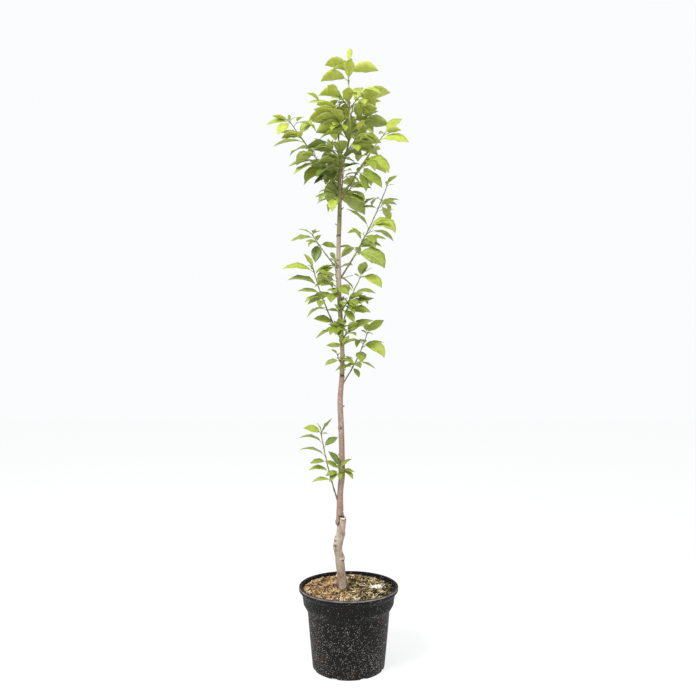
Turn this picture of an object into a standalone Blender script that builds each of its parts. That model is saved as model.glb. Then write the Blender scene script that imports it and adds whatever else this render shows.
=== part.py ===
# A young grafted persimmon tree in a round nursery pot.
# Metres, +Z up. The origin is the middle of the pot's flat underside. The tree is seen
# from -Y, with +X to its right. A heading is a compass angle in degrees round +Z: 0 is
# right, 90 is away from the viewer, 180 is left and 270 is towards the viewer.

import math
import random

import bmesh
import bpy
from mathutils import Matrix, Vector, noise
from mathutils.bvhtree import BVHTree

OBJECT_NAME = "potted_persimmon_tree"
CLEARANCE = 0.0003
WELD_DISTANCE = 0.00002

# The pot
POT_SEGMENTS = 40
POT_HEIGHT = 0.187
RIM_RADIUS = 0.120
RIM_FLANGE = 0.007
RIM_ROUNDING = 0.0008
RIM_DROP = 0.008
COLLAR_TOP = (0.112, 0.168)
COLLAR_FOOT = (0.109, 0.147)
SHOULDER = (0.099, 0.131)
FOOT_RADIUS = 0.0862
FOOT_CHAMFER = 0.0012
POT_WALL = 0.002
POT_FLOOR = 0.003
NOTCH_COUNT = 8
NOTCH_WIDTH = 0.014
NOTCH_HEIGHT = 0.003
NOTCH_DEPTH = 0.009
NOTCH_FIRST_HEADING = 293.0

# The potting mix
MIX_SEGMENTS = 24
MIX_RINGS = 6
MIX_EDGE_HEIGHT = 0.1785
MIX_WALL_GAP = 0.0006
MIX_ROUGHNESS = 0.0016
MIX_ROUGHNESS_SCALE = 55.0
MIX_SEAT_RADIUS = 0.030
MIX_SEAT_BLEND = 0.020

# The trunk: height above the pot's underside, offset to the right, diameter
GROUND_HEIGHT = 0.1795
ROOTSTOCK = (
    (0.1795, -0.0145, 0.0245),
    (0.213, -0.0183, 0.0212),
    (0.249, -0.0225, 0.0215),
    (0.272, -0.0258, 0.0198),
    (0.300, -0.0215, 0.0215),
    (0.322, -0.0182, 0.0205),
    (0.341, -0.0184, 0.0255),
)
SCION = (
    (0.351, -0.0206, 0.0188),
    (0.385, -0.0212, 0.0155),
    (0.414, -0.0200, 0.0145),
    (0.450, -0.0165, 0.0155),
    (0.497, -0.0165, 0.0140),
    (0.565, -0.0183, 0.0142),
    (0.634, -0.0208, 0.0134),
    (0.691, -0.0168, 0.0122),
    (0.753, -0.0156, 0.0110),
    (0.820, -0.0190, 0.0110),
    (0.900, -0.0238, 0.0118),
    (0.946, -0.0241, 0.0118),
    (1.006, -0.0255, 0.0108),
    (1.085, -0.0232, 0.0112),
    (1.140, -0.0220, 0.0095),
    (1.208, -0.0214, 0.0084),
)
LEADER = (
    (1.240, -0.0116, 0.0060),
    (1.266, -0.0041, 0.0054),
    (1.318, 0.0036, 0.0048),
    (1.370, 0.0023, 0.0042),
    (1.436, 0.0000, 0.0034),
)
TRUNK_STEPS = 2
TRUNK_FOOT_DEPTH = 0.012
TRUNK_DEPTH_FADE = 0.25
TRUNK_SWAY = 0.003
TRUNK_SWAY_RATE = 8.0
TRUNK_BEVEL = 3

# Knobs on the rootstock and scion: height, heading, radius
KNOBS = (
    (0.252, 10, 0.0060),
    (0.274, 175, 0.0055),
    (0.283, 200, 0.0050),
    (0.306, 20, 0.0050),
    (0.333, 165, 0.0065),
    (0.565, 190, 0.0030),
    (0.691, 350, 0.0030),
    (1.045, 200, 0.0028),
)
KNOB_SINK = 0.55
KNOB_STRETCH = 1.35
KNOB_SIDES = 8
KNOB_RINGS = 6

# The snag: the cut stub of the rootstock beside the graft
SNAG_OFFSET = 0.0080
SNAG_RADIUS = 0.0054
SNAG_FOOT_HEIGHT = 0.322
SNAG_TOP_HEIGHT = 0.3515
SNAG_LEAN = 6.0
SNAG_SIDES = 10

# Boughs and shoots
LIMB_STEP = 0.016
BOUGH_BEVEL = 2
STEM_BEVEL = 1
TWIG_BEVEL = 0
STEM_TIP_WIDTH = 0.0022
ZIGZAG = 0.0007

# Side twigs: their leaves are smaller and stand to either side
TWIG_WIDTH = 0.0019
TWIG_TIP_WIDTH = 0.0017
TWIG_RISE = (35.0, 60.0)
TWIG_LEAF_SHARE = 0.9
TWIG_TURN = 180.0
TWIG_FIRST = 70.0

# The leaf's outline: shares of the blade's length, and half widths there as such shares
LEAF_RINGS = (0.0, 0.24, 0.55, 0.82)
LEAF_HALF_WIDTHS = (0.03, 0.21, 0.258, 0.145)
STALK_SHARE = 0.17
STALK_HALF_WIDTH = 0.0008
ROOT_SINK = 0.0004
LEAF_THICKNESS = 0.018
LEAF_THINNING = 0.5

# How leaves vary: shares of their usual size, and angles in degrees
LEAF_SIZE = (0.88, 1.10)
LEAF_BREADTH = (0.88, 1.16)
LEAF_ARCH = (28.0, 66.0)
LEAF_FOLD = (10.0, 28.0)
LEAF_ROLL = (-38.0, 38.0)
STALK_LIFT = 14.0
SMALLEST_SHARE = 0.78
MIDDLE_GAIN = 0.34
MIDDLE_SHIFT = 0.15

# How leaves stand on a stem: the first node's place, in node spacings, and the spread of
# places and headings; the pull turns a leaf towards the stem's tip
NODE_START = 0.6
NODE_SPREAD = 0.2
HEADING_SPREAD = 24.0
TIPWARD_PULL = 0.8
GOLDEN_TURN = 137.5

# The leaf at a stem's tip is young: small, narrow and nearly in line with an upright
# stem; on a slanting one it droops by a share of the stem's lean
TIP_LEAF_SIZE = 0.62
TIP_LEAF_BREADTH = 0.80
TIP_LEAF_ARCH = 0.5
TIP_LEAF_DROOP = 0.8
TIP_STALK_LIFT = 12.0

# Leaves keep clear of each other: the turns that one tries, and the room that it needs
LEAF_TRIES = (0, 8, -8, 18, -18, 32, -32, 50, -50)
LEAF_ROOM = 0.0007
FREE_STALK_SHARE = 0.7


# Each shoot grows from the trunk. Its first stretch is bare and makes a bough; the rest
# carries twigs and leaves and makes a mass of foliage.
#   height, heading    where its foot is on the trunk, and where it points
#   bare, leafy        the two lengths
#   rise               its slope at the foot and at the tip, in degrees
#   width              its diameter at the foot
#   leaves, leaf       the count along its stem, and their usual length
#   turn, first        the heading from one leaf to the next, and the first one's
#   pitch              the slope of a blade where it leaves its stalk, lowest and highest
#   twigs              side twigs: share of the leafy length, heading, length, leaves
#   reach              share of the stem's length over which its leaves stand
SHOOTS = (
    dict(name="right_long", height=0.932, heading=18, bare=0.070, leafy=0.218, rise=(56, 70), width=0.0046,
         leaves=2, leaf=0.078, turn=150, first=70, pitch=(0, 35), seed=83,
         reach=1.0, twigs=((0.30, -25, 0.035, 2),)),
    dict(name="right_upper", height=1.128, heading=-24, bare=0.085, leafy=0.118, rise=(60, 46), width=0.0044,
         leaves=2, leaf=0.074, turn=150, first=90, pitch=(0, 35), seed=93,
         reach=1.0, twigs=((0.35, 60, 0.045, 2),)),
    dict(name="left_upper", height=1.158, heading=200, bare=0.078, leafy=0.134, rise=(52, 50), width=0.0044,
         leaves=2, leaf=0.072, turn=150, first=270, pitch=(0, 35), seed=29,
         reach=1.0, twigs=((0.20, 100, 0.040, 2),)),
    dict(name="left_middle", height=0.958, heading=160, bare=0.058, leafy=0.063, rise=(48, 58), width=0.0036,
         leaves=1, leaf=0.068, turn=150, first=270, pitch=(-10, 30), seed=83,
         reach=1.0, twigs=()),
    dict(name="left_long", height=0.781, heading=198, bare=0.070, leafy=0.120, rise=(60, 74), width=0.0042,
         leaves=1, leaf=0.076, turn=150, first=270, pitch=(-10, 35), seed=91,
         reach=1.0, twigs=()),
    dict(name="right_lower", height=0.806, heading=-30, bare=0.050, leafy=0.092, rise=(76, 58), width=0.0036,
         leaves=1, leaf=0.068, turn=150, first=120, pitch=(-10, 35), seed=84,
         reach=1.0, twigs=()),
    dict(name="right_lowest", height=0.668, heading=28, bare=0.052, leafy=0.103, rise=(52, 70), width=0.0036,
         leaves=1, leaf=0.072, turn=150, first=60, pitch=(-10, 35), seed=134,
         reach=1.0, twigs=()),
    dict(name="sprout", height=0.370, heading=200, bare=0.050, leafy=0.140, rise=(70, 80), width=0.0040,
         leaves=1, leaf=0.052, turn=150, first=270, pitch=(0, 45), seed=66,
         reach=1.0, twigs=()),
    dict(name="leader_top", height=None, heading=0, bare=0.000, leafy=0.058, rise=(90, 88), width=0.0034,
         leaves=1, leaf=0.082, turn=GOLDEN_TURN, first=90, pitch=(5, 35), seed=21,
         reach=0.35, twigs=()),
    dict(name="twin_leader", height=1.200, heading=182, bare=0.108, leafy=0.078, rise=(86, 94), width=0.0050,
         leaves=2, leaf=0.080, turn=GOLDEN_TURN, first=270, pitch=(0, 35), seed=92,
         reach=1.0, twigs=((0.35, 188, 0.072, 3),)),
    dict(name="tier_right", height=1.372, heading=-15, bare=0.000, leafy=0.036, rise=(45, 60), width=0.0026,
         leaves=1, leaf=0.088, turn=GOLDEN_TURN, first=90, pitch=(0, 40), seed=10,
         reach=1.0, twigs=()),
    dict(name="tier_left", height=1.372, heading=195, bare=0.000, leafy=0.030, rise=(45, 60), width=0.0026,
         leaves=2, leaf=0.080, turn=GOLDEN_TURN, first=270, pitch=(0, 40), seed=101,
         reach=1.0, twigs=()),
    dict(name="tier_back", height=1.345, heading=80, bare=0.000, leafy=0.070, rise=(45, 60), width=0.0028,
         leaves=7, leaf=0.080, turn=GOLDEN_TURN, first=135, pitch=(-10, 35), seed=136,
         reach=1.0, twigs=()),
    dict(name="shade_right", height=1.305, heading=15, bare=0.000, leafy=0.050, rise=(45, 60), width=0.0028,
         leaves=2, leaf=0.084, turn=GOLDEN_TURN, first=60, pitch=(-15, 35), seed=17,
         reach=1.0, twigs=()),
    dict(name="shade_left", height=1.290, heading=225, bare=0.000, leafy=0.055, rise=(45, 60), width=0.0028,
         leaves=3, leaf=0.082, turn=GOLDEN_TURN, first=270, pitch=(-15, 35), seed=27,
         reach=1.0, twigs=()),
    dict(name="leader_right", height=1.258, heading=-30, bare=0.000, leafy=0.055, rise=(45, 60), width=0.0028,
         leaves=2, leaf=0.082, turn=GOLDEN_TURN, first=90, pitch=(-15, 35), seed=120,
         reach=1.0, twigs=()),
    dict(name="leader_left", height=1.235, heading=160, bare=0.000, leafy=0.060, rise=(45, 60), width=0.0028,
         leaves=2, leaf=0.080, turn=GOLDEN_TURN, first=270, pitch=(-15, 35), seed=92,
         reach=1.0, twigs=()),
    dict(name="fork_front", height=1.205, heading=265, bare=0.000, leafy=0.050, rise=(45, 60), width=0.0028,
         leaves=2, leaf=0.072, turn=GOLDEN_TURN, first=270, pitch=(-20, 30), seed=17,
         reach=1.0, twigs=()),
    dict(name="fork_left", height=1.180, heading=165, bare=0.000, leafy=0.060, rise=(48, 55), width=0.0030,
         leaves=3, leaf=0.074, turn=GOLDEN_TURN, first=270, pitch=(-20, 30), seed=92,
         reach=1.0, twigs=()),
    dict(name="fork_right", height=1.135, heading=25, bare=0.000, leafy=0.055, rise=(48, 55), width=0.0030,
         leaves=1, leaf=0.072, turn=GOLDEN_TURN, first=60, pitch=(-20, 30), seed=81,
         reach=1.0, twigs=()),
    dict(name="front_left", height=1.118, heading=205, bare=0.000, leafy=0.045, rise=(60, 70), width=0.0028,
         leaves=1, leaf=0.058, turn=GOLDEN_TURN, first=315, pitch=(-15, 30), seed=13,
         reach=1.0, twigs=()),
    dict(name="back_upper", height=1.085, heading=85, bare=0.060, leafy=0.130, rise=(55, 60), width=0.0038,
         leaves=9, leaf=0.072, turn=150, first=135, pitch=(-10, 35), seed=100,
         reach=1.0, twigs=()),
    dict(name="back_middle", height=0.870, heading=100, bare=0.045, leafy=0.105, rise=(52, 62), width=0.0034,
         leaves=8, leaf=0.066, turn=150, first=180, pitch=(-10, 35), seed=46,
         reach=1.0, twigs=()),
    dict(name="collar_upper", height=0.955, heading=240, bare=0.000, leafy=0.030, rise=(45, 60), width=0.0026,
         leaves=1, leaf=0.060, turn=GOLDEN_TURN, first=135, pitch=(-20, 30), seed=34,
         reach=1.0, twigs=()),
    dict(name="collar_middle", height=0.850, heading=330, bare=0.000, leafy=0.035, rise=(45, 60), width=0.0026,
         leaves=2, leaf=0.072, turn=GOLDEN_TURN, first=315, pitch=(-10, 35), seed=71,
         reach=1.0, twigs=()),
    dict(name="collar_left", height=0.885, heading=200, bare=0.000, leafy=0.030, rise=(45, 60), width=0.0026,
         leaves=1, leaf=0.068, turn=GOLDEN_TURN, first=315, pitch=(-15, 30), seed=136,
         reach=1.0, twigs=()),
    dict(name="collar_lower", height=0.800, heading=170, bare=0.000, leafy=0.030, rise=(45, 60), width=0.0026,
         leaves=1, leaf=0.066, turn=GOLDEN_TURN, first=0, pitch=(-15, 30), seed=135,
         reach=1.0, twigs=()),
    dict(name="collar_front", height=0.775, heading=300, bare=0.000, leafy=0.035, rise=(45, 60), width=0.0026,
         leaves=2, leaf=0.080, turn=GOLDEN_TURN, first=0, pitch=(-15, 35), seed=132,
         reach=1.0, twigs=()),
    dict(name="collar_foot", height=0.720, heading=230, bare=0.000, leafy=0.032, rise=(45, 60), width=0.0026,
         leaves=1, leaf=0.050, turn=GOLDEN_TURN, first=180, pitch=(-15, 35), seed=75,
         reach=1.0, twigs=()),
    dict(name="trunk_tuft", height=0.445, heading=250, bare=0.000, leafy=0.034, rise=(35, 60), width=0.0024,
         leaves=1, leaf=0.043, turn=GOLDEN_TURN, first=270, pitch=(0, 45), seed=92,
         reach=1.0, twigs=()),
)


# Leaves set by eye, where one stands out in the tree's outline: share of the leafy stem's
# length, heading, slope where the blade leaves its stalk, length, arch and roll
SET_LEAVES = {
    "right_long": (
        (0.76, 0, 16, 0.050, 20, -30), (0.68, 180, 14, 0.044, 30, 35), (0.64, 355, 8, 0.044, 10, -10),
        (0.40, 348, 28, 0.086, 100, -55), (0.41, 178, 50, 0.080, 25, 25), (0.26, 350, 6, 0.060, 25, -35),
        (0.22, 150, 60, 0.052, 20, -40), (0.15, 345, 16, 0.062, 50, -25), (0.09, 185, 22, 0.050, 30, 30),
        (0.03, 345, 2, 0.096, 72, -60), (0.10, 330, -34, 0.052, 20, -50), (0.30, 300, -20, 0.055, 40, -20),
    ),
    "right_upper": (
        (1.00, 8, 44, 0.060, 12, -50), (0.90, 12, 26, 0.058, 12, -12), (0.82, 345, 0, 0.078, 30, -55),
        (0.10, 350, 28, 0.092, 100, -50), (0.30, 305, -25, 0.060, 45, -15), (0.22, 180, -5, 0.046, 20, 30),
        (0.03, 345, -28, 0.080, 24, -50), (0.06, 328, -64, 0.062, 15, -20),
    ),
    "left_upper": (
        (0.97, 182, -4, 0.060, 15, 45), (0.95, 220, -38, 0.056, 25, 45), (0.55, 188, 34, 0.064, 45, 50),
        (0.53, 180, 0, 0.082, 26, 20), (0.66, 20, 60, 0.058, 15, -45), (0.12, 188, -12, 0.078, 12, 22),
        (0.08, 196, -26, 0.076, 15, 22), (0.60, 250, 10, 0.050, 40, 0),
    ),
    "left_middle": (
        (0.80, 182, 2, 0.064, 28, 35), (0.97, 290, 6, 0.050, 25, 0), (0.42, 12, 8, 0.046, 35, -55),
        (0.50, 255, -58, 0.060, 20, 20),
    ),
    "left_long": (
        (0.93, 182, 18, 0.082, 34, 38), (0.61, 180, 28, 0.084, 42, 25), (0.96, 350, -8, 0.040, 25, -35),
        (0.47, 184, 12, 0.060, 20, 30), (0.38, 192, 0, 0.050, 50, 20), (0.17, 185, -14, 0.056, 40, 15),
        (0.30, 260, -10, 0.056, 40, 0),
    ),
    "right_lower": (
        (0.03, 350, 0, 0.062, 22, -45), (0.12, 12, 22, 0.072, 12, -30), (0.50, 355, 8, 0.058, 25, -30),
        (0.97, 285, 40, 0.056, 20, 0), (0.97, 345, -6, 0.066, 58, -50), (0.30, 290, -10, 0.055, 40, 0),
    ),
    "right_lowest": (
        (0.60, 335, 10, 0.078, 88, -60), (0.96, 14, 46, 0.062, 22, -45), (0.62, 8, 22, 0.060, 30, -12),
        (0.50, 272, -24, 0.062, 20, 0), (0.22, 345, -18, 0.054, 12, -5), (0.05, 185, 0, 0.046, 35, 25),
        (0.04, 320, -42, 0.034, 25, -20),
    ),
    "sprout": (
        (0.98, 20, 56, 0.048, 12, -5), (0.97, 190, 36, 0.050, 45, 60), (0.80, 180, 34, 0.067, 55, 3),
        (0.74, 15, 40, 0.045, 20, -40), (0.57, 180, 32, 0.071, 45, 0), (0.48, 182, 2, 0.043, 20, 30),
        (0.30, 180, 18, 0.054, 38, 20), (0.14, 182, 9, 0.051, 36, 18),
    ),
    "leader_top": (
        (0.12, 272, 42, 0.066, 40, 0), (0.45, 352, 20, 0.082, 48, 25), (0.60, 188, 40, 0.073, 82, -20),
        (0.14, 184, 18, 0.078, 58, -20), (0.50, 215, 8, 0.062, 55, 0),
    ),
    "twin_leader": (
        (0.50, 210, 30, 0.078, 35, -5), (0.40, 188, 16, 0.084, 25, -10), (0.12, 186, 22, 0.069, 20, 10),
        (0.90, 183, 6, 0.088, 25, 30),
    ),
    "tier_right": (
        (0.95, 80, 58, 0.056, 20, 0), (0.85, 345, 14, 0.068, 25, 35), (0.90, 8, 16, 0.092, 12, 20),
        (0.50, 295, -10, 0.071, 45, 0), (0.30, 330, -22, 0.062, 30, -15),
    ),
    "tier_left": (
        (0.90, 186, 30, 0.069, 60, -20), (0.70, 170, 52, 0.050, 15, 0), (0.30, 275, 38, 0.062, 40, 0),
    ),
    "shade_right": (
        (0.80, 350, 0, 0.080, 18, 35), (0.50, 320, -15, 0.066, 40, 0), (0.90, 290, 35, 0.060, 40, 0),
    ),
    "shade_left": (
        (0.90, 195, 12, 0.067, 35, -10), (0.60, 240, -8, 0.065, 45, 0), (0.70, 178, -5, 0.070, 25, -40),
    ),
    "leader_right": (
        (0.60, 350, 6, 0.074, 35, 35), (0.80, 320, -8, 0.066, 45, 0), (0.40, 290, -20, 0.062, 40, 0),
        (0.05, 285, -56, 0.070, 15, 0),
    ),
    "leader_left": (
        (0.50, 190, 14, 0.067, 40, -20), (0.90, 183, 7, 0.069, 35, -10), (0.30, 265, 30, 0.060, 40, 0),
    ),
    "fork_front": (
        (0.80, 285, 35, 0.066, 40, 0), (0.50, 190, 2, 0.067, 30, -20), (0.60, 325, 34, 0.066, 35, 0),
        (0.40, 235, 30, 0.060, 40, 20),
    ),
    "fork_left": (
        (0.62, 194, 6, 0.084, 84, 50), (0.40, 190, -15, 0.056, 25, 35), (0.55, 240, -25, 0.058, 35, 0),
    ),
    "fork_right": (
        (0.80, 350, 8, 0.058, 28, -40), (0.60, 348, -12, 0.054, 40, -30), (0.30, 358, -4, 0.062, 45, -40),
    ),
    "front_left": (
        (0.40, 186, 10, 0.054, 55, 15), (0.70, 184, 42, 0.050, 90, 10), (0.60, 255, -48, 0.054, 30, 0),
    ),
    "collar_upper": (
        (0.50, 205, -32, 0.068, 35, 40), (0.45, 178, -4, 0.060, 45, 10),
    ),
    "collar_middle": (
        (0.90, 350, -4, 0.048, 50, -35), (0.95, 20, 36, 0.050, 20, -35), (0.60, 300, -15, 0.056, 35, 0),
        (0.30, 335, -36, 0.055, 20, -30), (0.80, 260, 5, 0.050, 50, 0),
    ),
    "collar_left": (
        (0.42, 188, -6, 0.080, 32, 45), (0.05, 200, -40, 0.058, 20, 40), (0.60, 240, -20, 0.056, 40, 0),
        (0.95, 325, -10, 0.055, 30, -35), (0.30, 300, -36, 0.052, 20, 0), (0.80, 290, 0, 0.050, 45, 0),
    ),
    "collar_lower": (
        (0.45, 184, -18, 0.062, 22, 20), (0.95, 192, 22, 0.056, 30, 50), (0.60, 250, -12, 0.056, 40, 0),
        (0.30, 255, -46, 0.056, 20, 10), (0.50, 330, -20, 0.052, 30, -20), (0.85, 300, 10, 0.052, 45, 0),
    ),
    "collar_front": (
        (0.50, 350, 34, 0.086, 18, -40), (0.60, 305, 12, 0.052, 45, 0), (0.10, 330, -20, 0.058, 25, -35),
        (0.90, 200, 15, 0.050, 40, 20),
    ),
    "collar_foot": (
        (0.40, 182, -2, 0.040, 40, 45), (0.50, 330, 0, 0.045, 40, -20), (0.30, 300, -32, 0.045, 20, 0),
    ),
    "trunk_tuft": (
        (0.80, 5, 46, 0.042, 20, -20), (0.60, 355, 6, 0.038, 20, -20), (0.95, 165, 64, 0.050, 25, 30),
        (0.80, 185, 40, 0.042, 25, 35), (0.55, 190, -3, 0.037, 30, 35), (0.50, 200, -28, 0.035, 30, 30),
        (0.60, 275, -23, 0.030, 40, 0),
    ),
}


def clear_scene():
    for thing in list(bpy.data.objects):
        bpy.data.objects.remove(thing, do_unlink=True)


def new_collection(name, hidden=False):
    group = bpy.data.collections.new(name)
    bpy.context.scene.collection.children.link(group)
    group.hide_render = hidden
    return group


def make_material(name, colour, roughness):
    material = bpy.data.materials.new(name)
    material.use_nodes = True
    shader = material.node_tree.nodes["Principled BSDF"]
    shader.inputs["Base Color"].default_value = (*colour, 1.0)
    shader.inputs["Roughness"].default_value = roughness
    shader.inputs["Metallic"].default_value = 0.0
    material.diffuse_color = (*colour, 1.0)
    return material


def heading_vector(heading):
    angle = math.radians(heading)
    return Vector((math.cos(angle), math.sin(angle), 0.0))


def add_object(name, mesh, group, material=None):
    thing = bpy.data.objects.new(name, mesh)
    group.objects.link(thing)
    if material is not None:
        mesh.materials.clear()
        mesh.materials.append(material)
    return thing


def apply_modifiers(thing):
    # The object keeps its place in the scene and takes the mesh that its modifiers give.
    bpy.context.view_layer.update()
    graph = bpy.context.evaluated_depsgraph_get()
    mesh = bpy.data.meshes.new_from_object(thing.evaluated_get(graph))
    thing.modifiers.clear()
    thing.data = mesh


def add_boolean(thing, operation, other=None, group=None):
    cut = thing.modifiers.new(operation.lower(), 'BOOLEAN')
    cut.operation = operation
    cut.solver = 'EXACT'
    if group is None:
        cut.object = other
    else:
        cut.operand_type = 'COLLECTION'
        cut.collection = group


def hide_as_cutter(thing, group):
    for home in list(thing.users_collection):
        home.objects.unlink(thing)
    group.objects.link(thing)
    thing.hide_render = True
    thing.display_type = 'WIRE'


def shade_smooth(thing, sharp_angle):
    thing.data.shade_smooth()
    thing.data.set_sharp_from_angle(angle=math.radians(sharp_angle))


def turned_solid(name, profile, segments, group, material):
    # The profile runs down the outer side, from one point on the axis to the other.
    mesh = bpy.data.meshes.new(name)
    places = [(radius, 0.0, height) for radius, height in profile]
    edges = [(i, i + 1) for i in range(len(places) - 1)]
    mesh.from_pydata(places, edges, [])
    thing = add_object(name, mesh, group, material)
    screw = thing.modifiers.new("turn", 'SCREW')
    screw.axis = 'Z'
    screw.angle = math.tau
    screw.steps = segments
    screw.render_steps = segments
    screw.use_merge_vertices = True
    screw.merge_threshold = 0.0001
    screw.use_normal_calculate = False
    apply_modifiers(thing)
    return thing


# The pot: a thin moulded shell with a flanged rim, a collar and a tapered body.
def inner_wall():
    floor_edge = (FOOT_RADIUS - POT_WALL, POT_FLOOR)
    shoulder = (SHOULDER[0] - POT_WALL, SHOULDER[1])
    collar_foot = (COLLAR_FOOT[0] - POT_WALL, COLLAR_FOOT[1])
    collar_top = (COLLAR_TOP[0] - POT_WALL, COLLAR_TOP[1])
    mouth = (RIM_RADIUS - RIM_FLANGE, POT_HEIGHT - RIM_ROUNDING)
    return [floor_edge, shoulder, collar_foot, collar_top, mouth]


def make_pot(group, cutters, material):
    profile = [(0.0, POT_FLOOR)]
    profile += inner_wall()
    profile += [
        (RIM_RADIUS - RIM_FLANGE + RIM_ROUNDING, POT_HEIGHT),
        (RIM_RADIUS - RIM_ROUNDING, POT_HEIGHT),
        (RIM_RADIUS, POT_HEIGHT - RIM_ROUNDING),
        (RIM_RADIUS, POT_HEIGHT - RIM_DROP),
        COLLAR_TOP,
        COLLAR_FOOT,
        SHOULDER,
        (FOOT_RADIUS, FOOT_CHAMFER),
        (FOOT_RADIUS - FOOT_CHAMFER, 0.0),
        (0.0, 0.0),
    ]
    pot = turned_solid("pot", profile, POT_SEGMENTS, group, material)
    for number in range(NOTCH_COUNT):
        heading = NOTCH_FIRST_HEADING + number * 360.0 / NOTCH_COUNT
        bpy.ops.mesh.primitive_cube_add(size=1.0)
        cutter = bpy.context.active_object
        cutter.name = f"notch_cutter_{number + 1}"
        cutter.location = heading_vector(heading) * FOOT_RADIUS
        cutter.scale = (NOTCH_DEPTH, NOTCH_WIDTH, NOTCH_HEIGHT * 2.0)
        cutter.rotation_euler = (0.0, 0.0, math.radians(heading))
        hide_as_cutter(cutter, cutters)
        add_boolean(pot, 'DIFFERENCE', other=cutter)
    shade_smooth(pot, 30.0)
    return pot


# The potting mix: it fills the pot to just under the rim, is uneven on top, and is level
# where the trunk stands in it.
def make_mix(group, material):
    wall = inner_wall()
    lower, upper = wall[-2], wall[-1]
    share = (MIX_EDGE_HEIGHT - lower[1]) / (upper[1] - lower[1])
    edge = (lower[0] + (upper[0] - lower[0]) * share, MIX_EDGE_HEIGHT)
    side = [edge] + [point for point in reversed(wall[:-1])]
    outer = [(radius - MIX_WALL_GAP, height) for radius, height in side]
    outer[-1] = (outer[-1][0], POT_FLOOR + CLEARANCE)
    top_height = GROUND_HEIGHT - CLEARANCE
    top = []
    for ring in range(MIX_RINGS):
        share = ring / MIX_RINGS
        top.append((outer[0][0] * share, top_height + (MIX_EDGE_HEIGHT - top_height) * share))
    profile = top + outer + [(0.0, POT_FLOOR + CLEARANCE)]
    mix = turned_solid("potting_mix", profile, MIX_SEGMENTS, group, material)
    foot = trunk_point(GROUND_HEIGHT)
    for vertex in mix.data.vertices:
        place = vertex.co
        radius = math.hypot(place.x, place.y)
        if place.z < MIX_EDGE_HEIGHT - CLEARANCE or radius > outer[0][0] - CLEARANCE:
            continue
        from_trunk = math.hypot(place.x - foot.x, place.y - foot.y)
        freedom = min(max((from_trunk - MIX_SEAT_RADIUS) / MIX_SEAT_BLEND, 0.0), 1.0)
        bump = noise.noise(place * MIX_ROUGHNESS_SCALE) * MIX_ROUGHNESS
        place.z = top_height + (place.z + bump - top_height) * freedom
    return mix


# The trunk: one tapering limb through the rootstock, the graft and the scion to its tip.
def trunk_stations():
    return ROOTSTOCK + SCION + LEADER


def trunk_depth(height):
    above = height - GROUND_HEIGHT
    sway = TRUNK_SWAY * math.sin(TRUNK_SWAY_RATE * above)
    return TRUNK_FOOT_DEPTH * math.exp(-above / TRUNK_DEPTH_FADE) + sway


def trunk_values(height):
    # Offset and diameter at a height, smoothed through the stations.
    stations = trunk_stations()
    last = len(stations) - 1
    index = 0
    while index < last - 1 and stations[index + 1][0] < height:
        index += 1
    before, start = stations[max(index - 1, 0)], stations[index]
    end, after = stations[index + 1], stations[min(index + 2, last)]
    share = min(max((height - start[0]) / (end[0] - start[0]), 0.0), 1.0)
    offset_in = (end[1] - before[1]) / (end[0] - before[0])
    offset_out = (after[1] - start[1]) / (after[0] - start[0])
    run = end[0] - start[0]
    square, cube = share * share, share * share * share
    offset = (2 * cube - 3 * square + 1) * start[1] + (3 * square - 2 * cube) * end[1]
    offset += ((cube - 2 * square + share) * offset_in + (cube - square) * offset_out) * run
    diameter = start[2] + (end[2] - start[2]) * share
    return offset, diameter


def trunk_point(height):
    offset, _ = trunk_values(height)
    return Vector((offset, trunk_depth(height), height))


def trunk_radius(height):
    return trunk_values(height)[1] / 2.0


def trunk_path():
    heights = []
    stations = trunk_stations()
    for lower, upper in zip(stations, stations[1:]):
        for step in range(TRUNK_STEPS):
            heights.append(lower[0] + (upper[0] - lower[0]) * step / TRUNK_STEPS)
    heights.append(stations[-1][0])
    points = [trunk_point(height) for height in heights]
    radii = [trunk_radius(height) for height in heights]
    return points, radii


def tube(name, points, radii, bevel, group, material=None):
    # A round limb: a curve with filled caps, made a mesh with its caps welded on.
    curve = bpy.data.curves.new(name + "_line", 'CURVE')
    curve.dimensions = '3D'
    curve.bevel_depth = 1.0
    curve.bevel_resolution = bevel
    curve.use_fill_caps = True
    spline = curve.splines.new('POLY')
    spline.points.add(len(points) - 1)
    for knot, place, radius in zip(spline.points, points, radii):
        knot.co = (*place, 1.0)
        knot.radius = radius
    line = bpy.data.objects.new(name + "_line", curve)
    group.objects.link(line)
    bpy.context.view_layer.update()
    graph = bpy.context.evaluated_depsgraph_get()
    mesh = bpy.data.meshes.new_from_object(line.evaluated_get(graph))
    shell = bmesh.new()
    shell.from_mesh(mesh)
    bmesh.ops.remove_doubles(shell, verts=shell.verts, dist=WELD_DISTANCE)
    bmesh.ops.recalc_face_normals(shell, faces=shell.faces)
    shell.to_mesh(mesh)
    shell.free()
    limb = add_object(name, mesh, group, material)
    limb.matrix_world = line.matrix_world
    bpy.data.objects.remove(line)
    return limb


def join_by_union(thing, others):
    add_boolean(thing, 'UNION', group=others)
    apply_modifiers(thing)
    for spare in list(others.objects):
        bpy.data.objects.remove(spare, do_unlink=True)
    bpy.data.collections.remove(others)


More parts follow.
